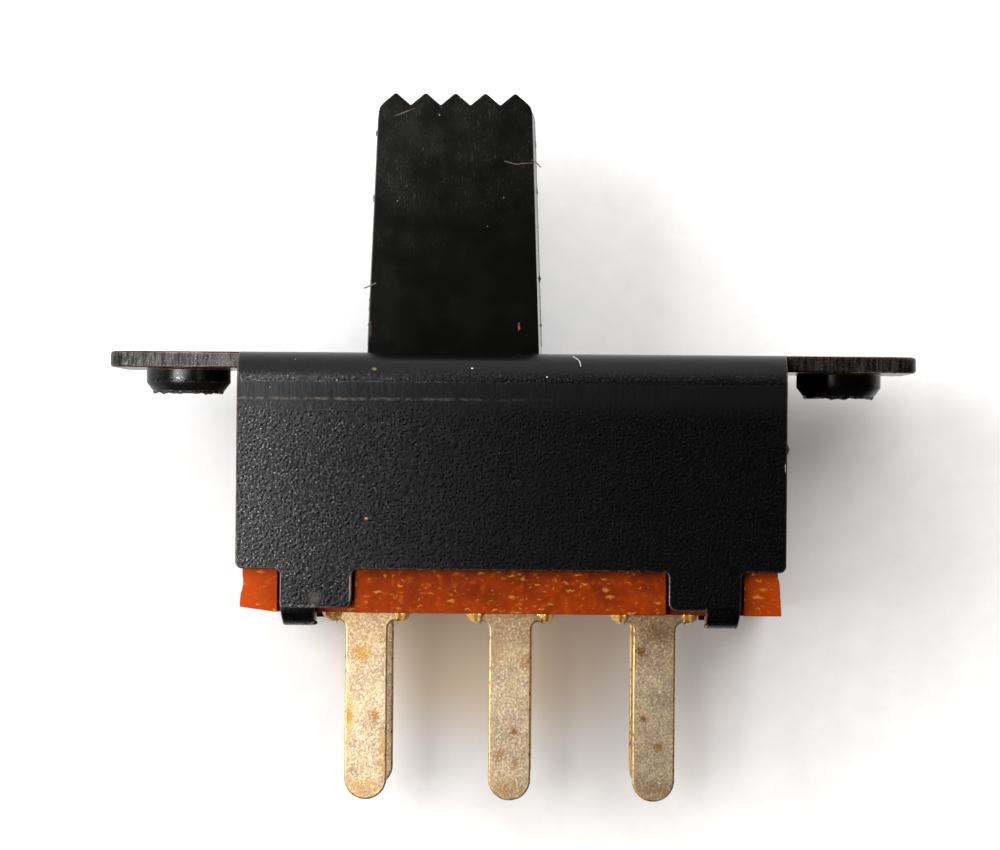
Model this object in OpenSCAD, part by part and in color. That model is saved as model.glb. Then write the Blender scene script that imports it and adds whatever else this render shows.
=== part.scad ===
// Two-pole, two-way slide switch for panel mounting: a folded steel frame with screw ears, a
// moulded slider with a toothed handle, a phenolic base and six staked solder terminals.
// Plus X is the slide direction, plus Z leaves the mounting face through the handle. The origin
// is on the mounting face, midway between the two screw holes.

/* [Frame] */
// Length of the folded channel along the slide
frame_l = 23.5; // [22:0.1:27]
// Width over the two side walls
frame_w = 11.5; // [11:0.1:13]
// Depth from the mounting face to the lower edges of the walls
wall_h = 9.3; // [8.8:0.1:11]
// Thickness of the steel sheet
sheet_t = 0.7; // [0.5:0.05:0.9]
// Inside radius of the two long bends
bend_r = 0.9; // [0.5:0.05:1.3]
// Radius on the lower corners of the walls
wall_corner_r = 0.3; // [0.1:0.05:0.6]

/* [Ears] */
// Length over both ears
ear_span = 34.9; // [34:0.1:40]
// Width of an ear
ear_w = 7.4; // [6:0.1:8]
// Radius on the corners of an ear
ear_corner_r = 0.9; // [0.4:0.05:1.6]
// Distance between the two screw holes
hole_pitch = 28.6; // [28:0.1:30]
// Minor diameter of the tapped hole
hole_d = 2.5; // [2:0.05:2.9]
// Depth of the chamfer at the mouth of the hole
hole_mouth = 0.2; // [0.05:0.05:0.3]
// Outside diameter of the extruded boss
boss_d = 3.7; // [3.4:0.05:4.2]
// Height of the boss below the ear
boss_h = 1; // [0.8:0.05:1.6]
// Taper of the boss towards its torn rim, on the radius
rim_step = 0.3; // [0.1:0.05:0.45]
// Height of that taper
rim_h = 0.4; // [0.1:0.05:0.6]

/* [Crimp tabs] */
// Distance between the two tabs on one wall, centre to centre
tab_pitch = 16.6; // [15.5:0.1:17.5]
// Width of a tab
tab_w = 3.1; // [2.6:0.05:3.6]
// Width of the finger at the outer side of a tab
finger_w = 1.5; // [1.2:0.05:1.8]
// Thickness to which the crimp coins the finger
finger_t = 0.55; // [0.4:0.05:0.7]
// How far the finger reaches under the base, from the inner face of the wall
finger_reach = 1.2; // [0.6:0.1:1.6]
// Outside radius of the bend that takes the finger under the base
finger_nose_r = 0.95; // [0.8:0.05:1.05]
// Narrowing of the finger on its outer side, from the tab to its underside
finger_taper = 0.14; // [0.05:0.01:0.3]
// How far the inner part of a tab ends above the underside of the base
tab_short = 0.2; // [0.1:0.05:0.5]
// Radius on the lower inner corner of a tab
tab_corner_r = 0.35; // [0.1:0.05:0.5]

/* [Slider] */
// Travel of the slider between its two positions
travel = 5.2; // [4.8:0.1:5.6]
// Height of the handle above the mounting face
handle_h = 11.4; // [8:0.1:16]
// Length of the handle at the mounting face, along the slide
handle_l = 7.7; // [7:0.1:7.8]
// Length of the handle at its shoulders, just below the teeth
handle_top_l = 6.9; // [6.5:0.05:7]
// Width of the handle at the mounting face
handle_w = 4.4; // [3.6:0.1:5]
// Width of the handle at its top
handle_top_w = 4; // [3.2:0.1:4.6]
// Narrowing of each end of the handle from the parting plane to its broad faces
parting_draft = 0.12; // [0.05:0.01:0.25]
// Number of grip teeth
tooth_count = 5; // [3:1:5]
// Distance between grip teeth
tooth_pitch = 1.3; // [1.1:0.01:1.35]
// Depth of the grooves between the teeth
tooth_h = 0.55; // [0.3:0.05:0.7]
// Radius on the tips of the teeth
tooth_tip_r = 0.14; // [0.05:0.01:0.15]
// Length of the carriage inside the frame
carriage_l = 18.3; // [18:0.1:18.3]

/* [Base] */
// Length of the phenolic base
base_l = 22.9; // [22:0.1:23.4]
// Thickness of the base
base_t = 1.85; // [1.5:0.05:2.4]
// How far the edge of the base stays back from the outer face of the wall
base_setback = 0.3; // [0.1:0.05:0.5]
// Flare of each sheared end towards the underside
base_flare = 0.12; // [0.05:0.01:0.2]

/* [Terminals] */
// Distance between neighbouring terminals of a row
terminal_pitch = 6.2; // [5.8:0.05:6.4]
// Distance between the two rows
row_pitch = 7; // [6.6:0.1:7.4]
// Width of a terminal
terminal_w = 1.82; // [1.5:0.02:2]
// Thickness of the terminal strip
terminal_t = 0.55; // [0.4:0.05:0.7]
// Length of a terminal below the base
terminal_drop = 8.1; // [5:0.1:14]
// Width of the shoulder under the base, before it was shaved down
shoulder_w = 2.6; // [2.3:0.05:2.8]
// Height of that shoulder
shoulder_h = 0.38; // [0.2:0.02:0.6]
// Fillet between the shoulder and the terminal
shoulder_fillet_r = 0.36; // [0.2:0.02:0.5]
// Radius of the shaved curls that stake the terminal
curl_r = 0.34; // [0.2:0.02:0.4]
// Width of the contact pad on the base
pad_w = 2.7; // [2.6:0.05:3]
// Length of the contact pad across the base
pad_l = 2.5; // [2.2:0.1:2.8]

/* [Moving contacts] */
// Thickness of a bridging strip
bridge_t = 0.4; // [0.3:0.05:0.5]
// Width of a bridging strip
bridge_w = 1.9; // [1.6:0.1:2]
// Length of a bridging strip
bridge_l = 8.8; // [8.2:0.1:9.2]
// Radius of the ball that forms a contact dimple
dimple_r = 0.8; // [0.6:0.05:1]
// Height of a contact dimple
dimple_h = 0.32; // [0.2:0.02:0.4]
// Outside diameter of a contact spring
spring_d = 1.9; // [1.6:0.1:2]
// Diameter of the spring wire
spring_wire = 0.26; // [0.2:0.02:0.3]
// Number of turns in a contact spring
spring_turns = 6; // [4:0.5:8]

/* [Clearances] */
// Running clearance of the slider in the frame
slide_gap = 0.1; // [0.05:0.01:0.15]
// Clearance left at the end of the slot when the handle has reached it
stop_gap = 0.12; // [0.1:0.01:0.25]
// Clearance round pieces that are seated in one another
seat_gap = 0.03; // [0.02:0.01:0.06]

/* [Hidden] */
$fn = 64;
// One overrun for every cut
over = 1;
// Outside radius of the long bends
bend_out_r = bend_r + sheet_t;
// Half widths over and between the walls
wall_out = frame_w / 2;
wall_in = wall_out - sheet_t;
// Heights of the inside of the plate, of the base and of the terminals, all below the mounting face
plate_z = -sheet_t;
base_z = -wall_h;
under_z = base_z - base_t;
terminal_z = under_z - terminal_drop;
// Resting place of the slider, at the left end of its travel
rest_x = -travel / 2;
// Slot for the handle
slot_l = handle_l + travel + 2 * stop_gap;
slot_w = handle_w + 2 * slide_gap;
slot_r = 0.4;
// Fillet between a wall and its tab
tab_fillet_r = 0.25;
// Inside radius of the finger's bend
finger_bend_r = 0.1;
// Top of the finger under the base, its underside, and the middle of its bend
finger_z = under_z - seat_gap;
finger_low = finger_z - finger_t;
nose_z = finger_low + finger_nose_r;
// Half width of the base, and of its waist at the tabs
base_half = wall_out - base_setback;
notch_half = wall_in - seat_gap - finger_bend_r;
notch_w = tab_w + 2 * slide_gap;
// Middle of a staking curl: past the end of the shoulder, and below the base
curl_x = (shoulder_w + curl_r) / 2;
curl_drop = curl_r / 3;
// Contact pads on the base, and their bend
pad_z = base_z + terminal_t;
pad_bend_r = 0.25;
// Carriage: how far its underside stays above the pads, its corner radius and its end chamfer
carriage_top = plate_z - slide_gap;
carriage_lift = 0.25;
carriage_z = pad_z + carriage_lift;
carriage_half = wall_in - slide_gap;
carriage_corner_r = bend_r + slide_gap;
carriage_chamfer = 0.3;
// Handle: root inside the carriage, flanks and outermost tips of the teeth, and its shoulders
root_z = carriage_top - carriage_corner_r;
tooth_slope = 2 * tooth_h / tooth_pitch;
last_tip = (tooth_count - 1) * tooth_pitch / 2;
shoulder_z = handle_h - (handle_top_l / 2 - last_tip) * tooth_slope;
// Bridging strips: the dimples just clear the pads
pole_y = row_pitch / 2 + terminal_t / 2 - pad_l / 2;
bridge_z = pad_z + seat_gap + dimple_h;
bridge_corner_r = 0.4;
dimple_pitch = terminal_pitch;
// Room above a strip in its recess, and the spring pocket above that
bridge_float = 0.3;
recess_z = bridge_z + bridge_t + bridge_float;
pocket_d = spring_d + 4 * slide_gap;
pocket_roof = 2.6;
pocket_z = carriage_top - pocket_roof;
// Core-out that keeps the moulding's walls even
core_w = 1.6;
core_end_wall = 1.8;
core_l = carriage_l - 2 * core_end_wall;
core_roof = 2.2;
core_z = carriage_top - core_roof;
// Spring sweep: sides of the wire and rings in each turn
wire_sides = 8;
rings_per_turn = 16;
// Steel, mouldings and contacts
steel_colour = "#26272a";
plastic_colour = "#161412";
phenolic_colour = "#a8480f";
tin_colour = "#b9a07c";
bronze_colour = "#c08a4a";
wire_colour = "#9a9a98";

// Rectangle from x0 to x1 and y0 to y1
module span(x0, x1, y0, y1) {
    translate([x0, y0]) square([x1 - x0, y1 - y0]);
}

// Rectangle with all four corners rounded
module round_rect(l, w, r) {
    square([l - 2 * r, w], center = true);
    square([l, w - 2 * r], center = true);
    for (x = [-1, 1], y = [-1, 1])
        translate([x * (l / 2 - r), y * (w / 2 - r)]) circle(r);
}

// Concave fillet that fills the corner at the origin, towards plus x and plus y
module corner_fillet(r) {
    difference() {
        square(r);
        translate([r, r]) circle(r);
    }
}

// Extrudes a profile drawn in Y and Z along X, centred
module along_x(l) {
    rotate([90, 0, 90]) linear_extrude(l, center = true) children();
}

// Extrudes a profile drawn in X and Z along Y, centred
module along_y(w) {
    rotate([90, 0, 0]) linear_extrude(w, center = true) children();
}

// Arch with a flat crown at height top, half width half and rounded upper corners
module arch(half, top, bottom, r) {
    span(-half, half, bottom, top - r);
    span(r - half, half - r, bottom, top);
    for (side = [-1, 1])
        translate([side * (half - r), top - r]) circle(r);
}

// Cross section of the folded channel, with walls down to the ends of the tabs
module channel_section(bottom) {
    difference() {
        arch(wall_out, 0, bottom, bend_out_r);
        arch(wall_in, plate_z, bottom - over, bend_r);
    }
}

// Side view of a wall with its two tabs
module wall_outline() {
    half = frame_l / 2;
    span(-half, half, base_z + wall_corner_r, over);
    span(wall_corner_r - half, half - wall_corner_r, base_z, over);
    for (side = [0, 1])
        mirror([side, 0]) {
            translate([half - wall_corner_r, base_z + wall_corner_r]) circle(wall_corner_r);
            translate([tab_pitch / 2, 0]) tab_outline();
        }
}

// Side view of the flat part of the right tab, with fillets where it leaves the wall: its outer side
// runs on into the finger, and its inner side ends in a round corner
module tab_outline() {
    tab_end = under_z + tab_short;
    half = tab_w / 2;
    finger_in = half - finger_w;
    span(finger_in, half, nose_z, base_z + wall_corner_r);
    span(-half, finger_in, tab_end + tab_corner_r, base_z + wall_corner_r);
    span(tab_corner_r - half, finger_in, tab_end, base_z);
    translate([tab_corner_r - half, tab_end + tab_corner_r]) circle(tab_corner_r);
    for (side = [0, 1])
        mirror([side, 0]) translate([half, base_z]) mirror([0, 1]) corner_fillet(tab_fillet_r);
}

// Cross section of a finger, from the tab round the edge of the base to its tip under the base
module finger_section() {
    bend_top = finger_z + finger_bend_r;
    tip = wall_in - finger_reach;
    tip_r = finger_t / 3;
    difference() {
        union() {
            span(tip, wall_out - finger_nose_r, finger_low, nose_z);
            span(wall_in - finger_bend_r, wall_out, nose_z, nose_z + finger_t);
            translate([wall_out - finger_nose_r, nose_z])
                intersection() {
                    circle(finger_nose_r);
                    span(0, finger_nose_r, -finger_nose_r, 0);
                }
        }
        span(tip - over, wall_in - finger_bend_r, finger_z, nose_z + over);
        span(wall_in - finger_bend_r - over, wall_in, bend_top, base_z);
        translate([wall_in - finger_bend_r, bend_top]) circle(finger_bend_r);
        translate([tip, finger_low])
            difference() {
                span(-over, tip_r, -over, tip_r);
                translate([tip_r, tip_r]) circle(tip_r);
            }
    }
}

// Front view of the right finger, narrowing on its outer side below the tab
module finger_outline() {
    outer = (tab_pitch + tab_w) / 2;
    inner = outer - finger_w;
    top = nose_z + finger_t;
    low_outer = outer - finger_taper;
    polygon([[inner, top], [outer, top], [outer, nose_z], [low_outer, finger_low], [inner, finger_low]]);
}

// The four fingers, each at the outer side of its tab
module fingers() {
    for (x = [0, 1], y = [0, 1])
        mirror([x, 0, 0]) mirror([0, y, 0])
            intersection() {
                along_x(frame_l) finger_section();
                along_y(frame_w + 2 * over) finger_outline();
            }
}

// One boss: a cylinder that tapers to its torn rim
module boss() {
    boss_r = boss_d / 2;
    low = plate_z - boss_h;
    translate([0, 0, low + rim_h]) cylinder(r = boss_r, h = boss_h - rim_h - plate_z);
    translate([0, 0, low]) cylinder(r1 = boss_r - rim_step, r2 = boss_r, h = rim_h);
}

// Tapped hole through ear and boss, with a chamfered mouth
module screw_hole() {
    hole_r = hole_d / 2;
    translate([0, 0, plate_z - boss_h - over]) cylinder(r = hole_r, h = boss_h + sheet_t + 2 * over);
    translate([0, 0, -hole_mouth]) cylinder(r1 = hole_r, r2 = hole_r + 2 * hole_mouth, h = 2 * hole_mouth);
}

// Folded steel frame with ears, bosses, slot and crimped tabs
module frame() {
    color(steel_colour)
    difference() {
        union() {
            intersection() {
                along_x(frame_l) channel_section(under_z);
                along_y(frame_w + 2 * over) wall_outline();
            }
            translate([0, 0, plate_z])
                linear_extrude(sheet_t) round_rect(ear_span, ear_w, ear_corner_r);
            for (x = [-1, 1])
                translate([x * hole_pitch / 2, 0, 0]) boss();
            fingers();
        }
        for (x = [-1, 1])
            translate([x * hole_pitch / 2, 0, 0]) screw_hole();
        translate([0, 0, plate_z - over])
            linear_extrude(sheet_t + 2 * over) round_rect(slot_l, slot_w, slot_r);
    }
}

// Side view of the handle, centred on x: rounded grip teeth and shoulders that run on past its ends
module handle_outline() {
    wide = handle_l / 2 + over;
    side_z = shoulder_z - (wide - handle_top_l / 2) * tooth_slope;
    teeth = [for (i = [0 : tooth_count - 1], k = [0, 1])
        if (k == 0 || i < tooth_count - 1)
            [last_tip - (i + k / 2) * tooth_pitch, handle_h - k * tooth_h]];
    difference() {
        polygon(concat(
            [[-wide, root_z], [wide, root_z], [wide, side_z]],
            teeth,
            [[-wide, side_z]]));
        for (i = [0 : tooth_count - 1])
            translate([last_tip - i * tooth_pitch, handle_h]) tooth_tip();
    }
}

// What a rounded tip takes off a sharp tooth whose tip is at the origin
module tooth_tip() {
    flank = atan(tooth_slope);
    run = tooth_tip_r * sin(flank);
    drop = run * tooth_slope;
    difference() {
        polygon([[0, drop], [-run, -drop], [run, -drop]]);
        translate([0, -drop - tooth_tip_r * cos(flank)]) circle(tooth_tip_r);
    }
}

// End view of the handle with draft on its broad faces
module handle_end_view() {
    half = handle_w / 2;
    top_half = handle_top_w / 2;
    span(-half, half, root_z, 0);
    polygon([[-half, 0], [half, 0], [top_half, handle_h], [-top_half, handle_h]]);
}

// Shapes the handle's end at plus x: it leans in towards the top and, from the parting plane, to both sides
module end_cut() {
    lean = atan(parting_draft / (handle_w / 2));
    rake = atan((handle_l - handle_top_l) / 2 / shoulder_z);
    reach = handle_h + over;
    translate([handle_l / 2, 0, 0]) rotate([0, -rake, 0])
        for (side = [-1, 1])
            rotate([0, 0, side * lean]) translate([0, -reach, -reach])
                cube([handle_l, 2 * reach, 2 * reach]);
}

// Handle, from its root inside the carriage up to the teeth
module handle() {
    difference() {
        intersection() {
            along_y(frame_w) handle_outline();
            along_x(frame_l) handle_end_view();
        }
        for (end = [0, 1])
            mirror([end, 0, 0]) end_cut();
    }
}

// Recess for a bridging strip with the round spring pocket above it
module contact_recess() {
    translate([0, 0, carriage_z - over])
        linear_extrude(recess_z - carriage_z + over)
            round_rect(bridge_l + 2 * slide_gap, bridge_w + 2 * slide_gap, bridge_corner_r);
    translate([0, 0, carriage_z]) cylinder(d = pocket_d, h = pocket_z - carriage_z);
}

// Carriage with rounded upper edges, two contact recesses and a core-out between them
module carriage() {
    difference() {
        along_x(carriage_l) arch(carriage_half, carriage_top, carriage_z, carriage_corner_r);
        for (side = [-1, 1])
            translate([0, side * pole_y, 0]) contact_recess();
        translate([0, 0, carriage_z - over])
            linear_extrude(core_z - carriage_z + over) round_rect(core_l, core_w, core_w / 3);
        for (side = [-1, 1])
            translate([side * carriage_l / 2, 0, carriage_z])
                rotate([0, 45, 0]) cube([carriage_chamfer, frame_w, carriage_chamfer], center = true);
    }
}

// Moulded slider: handle and carriage in one piece, at its resting place
module slider() {
    color(plastic_colour)
    translate([rest_x, 0, 0]) {
        handle();
        carriage();
    }
}

// Side view of the base: a plate whose sheared ends flare towards the underside
module base_outline() {
    half = base_l / 2;
    polygon([[-half, base_z], [half, base_z], [half + base_flare, under_z], [-half - base_flare, under_z]]);
}

// Phenolic base with waists for the tabs and slots for the terminals
module base() {
    slot_x = shoulder_w + 2 * seat_gap;
    slot_y = terminal_t + 2 * seat_gap;
    color(phenolic_colour)
    difference() {
        along_y(2 * base_half) base_outline();
        for (x = [-1, 1], y = [-1, 1])
            translate([x * tab_pitch / 2, y * (notch_half + base_half), under_z + base_t / 2])
                cube([notch_w, 2 * base_half, base_t + 2 * over], center = true);
        for (column = [-1, 0, 1], y = [-1, 1])
            translate([column * terminal_pitch, y * row_pitch / 2, under_z + base_t / 2])
                cube([slot_x, slot_y, base_t + 2 * over], center = true);
    }
}

// Side view of a terminal below the top of the base: shoulder, fillets, shank and round end
module terminal_outline() {
    half = terminal_w / 2;
    shoulder_half = shoulder_w / 2;
    shoulder_z = under_z - shoulder_h;
    span(-shoulder_half, shoulder_half, shoulder_z, base_z);
    span(-half, half, terminal_z + half, shoulder_z);
    translate([0, terminal_z + half]) circle(half);
    for (side = [0, 1])
        mirror([side, 0]) translate([half, shoulder_z]) mirror([0, 1]) corner_fillet(shoulder_fillet_r);
}

// A shaved curl that stakes a terminal: a round bead, flat on top where it lies against the base
module curl() {
    intersection() {
        translate([0, 0, -curl_drop]) sphere(curl_r);
        translate([0, 0, -2 * curl_r]) cube(4 * curl_r, center = true);
    }
}

// Cross section of the contact pad where the strip bends over onto the base, towards minus y
module pad_section() {
    outside = terminal_t / 2;
    difference() {
        span(outside - pad_l, outside, base_z, pad_z);
        translate([outside, pad_z]) rotate(180) corner_fillet(pad_bend_r);
        translate([outside - pad_l, pad_z]) rotate(-90) corner_fillet(pad_bend_r);
    }
}

// One terminal in the rear row, its pad reaching towards the middle of the switch
module terminal() {
    color(tin_colour) {
        along_y(terminal_t) terminal_outline();
        along_x(pad_w) pad_section();
        for (side = [-1, 1])
            translate([side * curl_x, 0, under_z]) curl();
    }
}

// A terminal of either row, mirrored for the front one
module placed_terminal(column, row) {
    translate([column * terminal_pitch, row * row_pitch / 2, 0])
        mirror([0, row < 0 ? 1 : 0, 0]) terminal();
}

module terminal_front_left() {
    placed_terminal(-1, -1);
}

module terminal_front_centre() {
    placed_terminal(0, -1);
}

module terminal_front_right() {
    placed_terminal(1, -1);
}

module terminal_rear_left() {
    placed_terminal(-1, 1);
}

module terminal_rear_centre() {
    placed_terminal(0, 1);
}

module terminal_rear_right() {
    placed_terminal(1, 1);
}

// The ball of a contact dimple below the strip's underside
module dimple() {
    intersection() {
        translate([0, 0, dimple_r - dimple_h]) sphere(dimple_r);
        translate([0, 0, -dimple_h / 2]) cube([2 * dimple_r, 2 * dimple_r, dimple_h], center = true);
    }
}

// Bridging strip with two punched dimples, hollow above, that each ride on a pad
module contact_bridge() {
    color(bronze_colour)
    translate([rest_x, 0, bridge_z])
    difference() {
        union() {
            linear_extrude(bridge_t) round_rect(bridge_l, bridge_w, bridge_corner_r);
            for (side = [-1, 1])
                translate([side * dimple_pitch / 2, 0, 0]) dimple();
        }
        for (side = [-1, 1])
            translate([side * dimple_pitch / 2, 0, dimple_r - dimple_h]) sphere(dimple_r - bridge_t);
    }
}

module contact_bridge_front() {
    translate([0, -pole_y, 0]) contact_bridge();
}

module contact_bridge_rear() {
    translate([0, pole_y, 0]) contact_bridge();
}

// Point on the wire's surface: ring number along the helix, side number round the wire
function wire_point(ring, side, rings, bottom, rise) =
    let (turn = 360 * ring / rings_per_turn,
        around = 360 * side / wire_sides,
        wire_r = spring_wire / 2,
        coil_r = (spring_d - spring_wire) / 2,
        reach = coil_r + wire_r * cos(around))
    [reach * cos(turn), reach * sin(turn), bottom + rise * ring / rings + wire_r * sin(around)];

// Coil spring between the strip and the ceiling of its pocket
module contact_spring() {
    rings = spring_turns * rings_per_turn;
    bottom = bridge_z + bridge_t + seat_gap + spring_wire / 2;
    rise = pocket_z - seat_gap - spring_wire / 2 - bottom;
    points = [for (r = [0 : rings], s = [0 : wire_sides - 1]) wire_point(r, s, rings, bottom, rise)];
    skin = [for (r = [0 : rings - 1], s = [0 : wire_sides - 1])
        let (a = r * wire_sides + s,
            b = r * wire_sides + (s + 1) % wire_sides)
        [a, a + wire_sides, b + wire_sides, b]];
    first = [for (s = [0 : wire_sides - 1]) s];
    last = [for (s = [wire_sides - 1 : -1 : 0]) rings * wire_sides + s];
    color(wire_colour)
    translate([rest_x, 0, 0]) polyhedron(points, concat(skin, [first, last]));
}

module contact_spring_front() {
    translate([0, -pole_y, 0]) contact_spring();
}

module contact_spring_rear() {
    translate([0, pole_y, 0]) contact_spring();
}

frame();
slider();
base();
terminal_front_left();
terminal_front_centre();
terminal_front_right();
terminal_rear_left();
terminal_rear_centre();
terminal_rear_right();
contact_bridge_front();
contact_bridge_rear();
contact_spring_front();
contact_spring_rear();
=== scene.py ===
"""Looks of a two-pole slide switch for panel mounting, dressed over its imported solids.

The switch lies with its back wall on a sheet of white paper, as in the photograph, and the camera
looks along plus Y at the front wall. Lengths are in metres, and mm() turns millimetres into them.
Finishes are painted in millimetres of object space, so their own sizes and places are in millimetres.
"""

import logging
import math
from dataclasses import dataclass, field
from enum import Enum

import bmesh
import bpy
from bpy.types import Material, Mesh, Node, NodeSocket, NodeTree, Object
from mathutils import Matrix, Vector, noise
from mathutils.bvhtree import BVHTree


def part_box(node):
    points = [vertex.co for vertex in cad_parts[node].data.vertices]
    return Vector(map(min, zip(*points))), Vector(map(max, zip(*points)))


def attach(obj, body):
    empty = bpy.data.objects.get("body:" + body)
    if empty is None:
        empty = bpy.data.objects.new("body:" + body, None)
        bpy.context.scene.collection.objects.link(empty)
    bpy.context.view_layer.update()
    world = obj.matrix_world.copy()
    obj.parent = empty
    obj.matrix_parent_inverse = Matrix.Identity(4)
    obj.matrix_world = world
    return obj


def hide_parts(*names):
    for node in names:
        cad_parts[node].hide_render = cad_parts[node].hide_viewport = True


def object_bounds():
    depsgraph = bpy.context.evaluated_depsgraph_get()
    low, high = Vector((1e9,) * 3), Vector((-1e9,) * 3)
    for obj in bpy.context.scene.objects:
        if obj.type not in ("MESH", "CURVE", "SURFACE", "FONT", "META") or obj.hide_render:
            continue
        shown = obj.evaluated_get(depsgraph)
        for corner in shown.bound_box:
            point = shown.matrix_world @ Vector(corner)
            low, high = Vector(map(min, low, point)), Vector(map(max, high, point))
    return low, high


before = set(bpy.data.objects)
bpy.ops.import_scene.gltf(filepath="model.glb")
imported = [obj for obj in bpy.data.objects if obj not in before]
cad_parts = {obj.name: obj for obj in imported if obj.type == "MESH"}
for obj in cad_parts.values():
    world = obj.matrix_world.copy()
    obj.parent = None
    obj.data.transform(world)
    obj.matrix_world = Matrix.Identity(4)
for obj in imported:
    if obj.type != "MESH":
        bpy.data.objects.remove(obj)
CAD_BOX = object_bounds()
LOG = logging.getLogger("slide_switch")

Colour = tuple[float, float, float, float]
Pair = tuple[float, float]
Triple = tuple[float, float, float]
Source = Node | NodeSocket

MM_IN_METRE = 1000.0


class Body(Enum):
    """Moving groups of the switch."""

    HOUSING = "housing"
    SLIDING = "sliding"


class Slot(Enum):
    """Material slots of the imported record."""

    STEEL = "black_coated_steel"
    PLASTIC = "black_plastic"
    PHENOLIC = "phenolic"
    TIN = "tinned_brass"
    BRONZE = "contact_bronze"
    WIRE = "spring_steel"


def mm(length: float) -> float:
    """Returns a length in millimetres as metres."""
    return length / MM_IN_METRE


HAIRLINE = mm(0.01)
MERGED_WITHIN = mm(0.0005)
FLAT_WITHIN_DEG = 0.5
FACE_WEIGHT = 100
TUBE_SIDES = 8
SECOND_FINISH = 1
NOISE_MEAN = (0.5, 0.5, 0.5)


def linear(code: str) -> Colour:
    """Turns an sRGB hex colour into a linear one.

    Args:
        code: Six hex digits after a hash sign.

    Returns:
        Linear red, green and blue, and an alpha of 1.
    """
    parts = [int(code[i:i + 2], 16) / 255 for i in (1, 3, 5)]
    flat = [c / 12.92 if c <= 0.04045 else ((c + 0.055) / 1.055) ** 2.4 for c in parts]
    return (flat[0], flat[1], flat[2], 1.0)


def plug(tree: NodeTree, node: Node, links: dict) -> None:
    """Sets or links a node's inputs.

    Args:
        tree: Node tree of the node.
        node: The node.
        links: Input name or number, with a value, a socket or a node whose first live output is taken.
    """
    for key, value in links.items():
        named = [s for s in node.inputs if s.enabled and s.name == key]
        socket = node.inputs[key] if isinstance(key, int) else named[0]
        if isinstance(value, Node):
            value = next(s for s in value.outputs if s.enabled)
        if isinstance(value, NodeSocket):
            tree.links.new(value, socket)
        else:
            socket.default_value = value


def add_node(tree: NodeTree, kind: str, links: dict | None = None, **settings: object) -> Node:
    """Adds a node with its settings and links.

    Args:
        tree: Node tree that gets the node.
        kind: Blender's type name of the node.
        links: Inputs as plug() takes them.
        **settings: Properties of the node itself.

    Returns:
        The new node.
    """
    node = tree.nodes.new(kind)
    for name, value in settings.items():
        setattr(node, name, value)
    plug(tree, node, links or {})
    return node


@dataclass(frozen=True)
class Layer:
    """A colour that fades in over another while a pattern goes from start to end.

    The strength is how much of it shows where the pattern is past the end.
    """

    colour: str
    start: float
    end: float
    strength: float = 1.0


@dataclass(frozen=True)
class Overlay:
    """A patch laid over a finish, with its middle and half sizes in millimetres.

    Its colour fades in from rim_out to rim_in. They count half sizes from the middle, after a noise times
    fray is added. Most are wear and dirt; two on the enamel are painted highlights.
    """

    middle: Triple
    half: Triple
    colour: str
    strength: float
    fray: float = 1.6
    rim_out: float = 1.9
    rim_in: float = 1.1


@dataclass(frozen=True)
class Painted:
    """What a finish has painted: colour, relief, and other inputs of the shader by name."""

    colour: Source
    height: Source
    inputs: dict[str, Source] = field(default_factory=dict)


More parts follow.
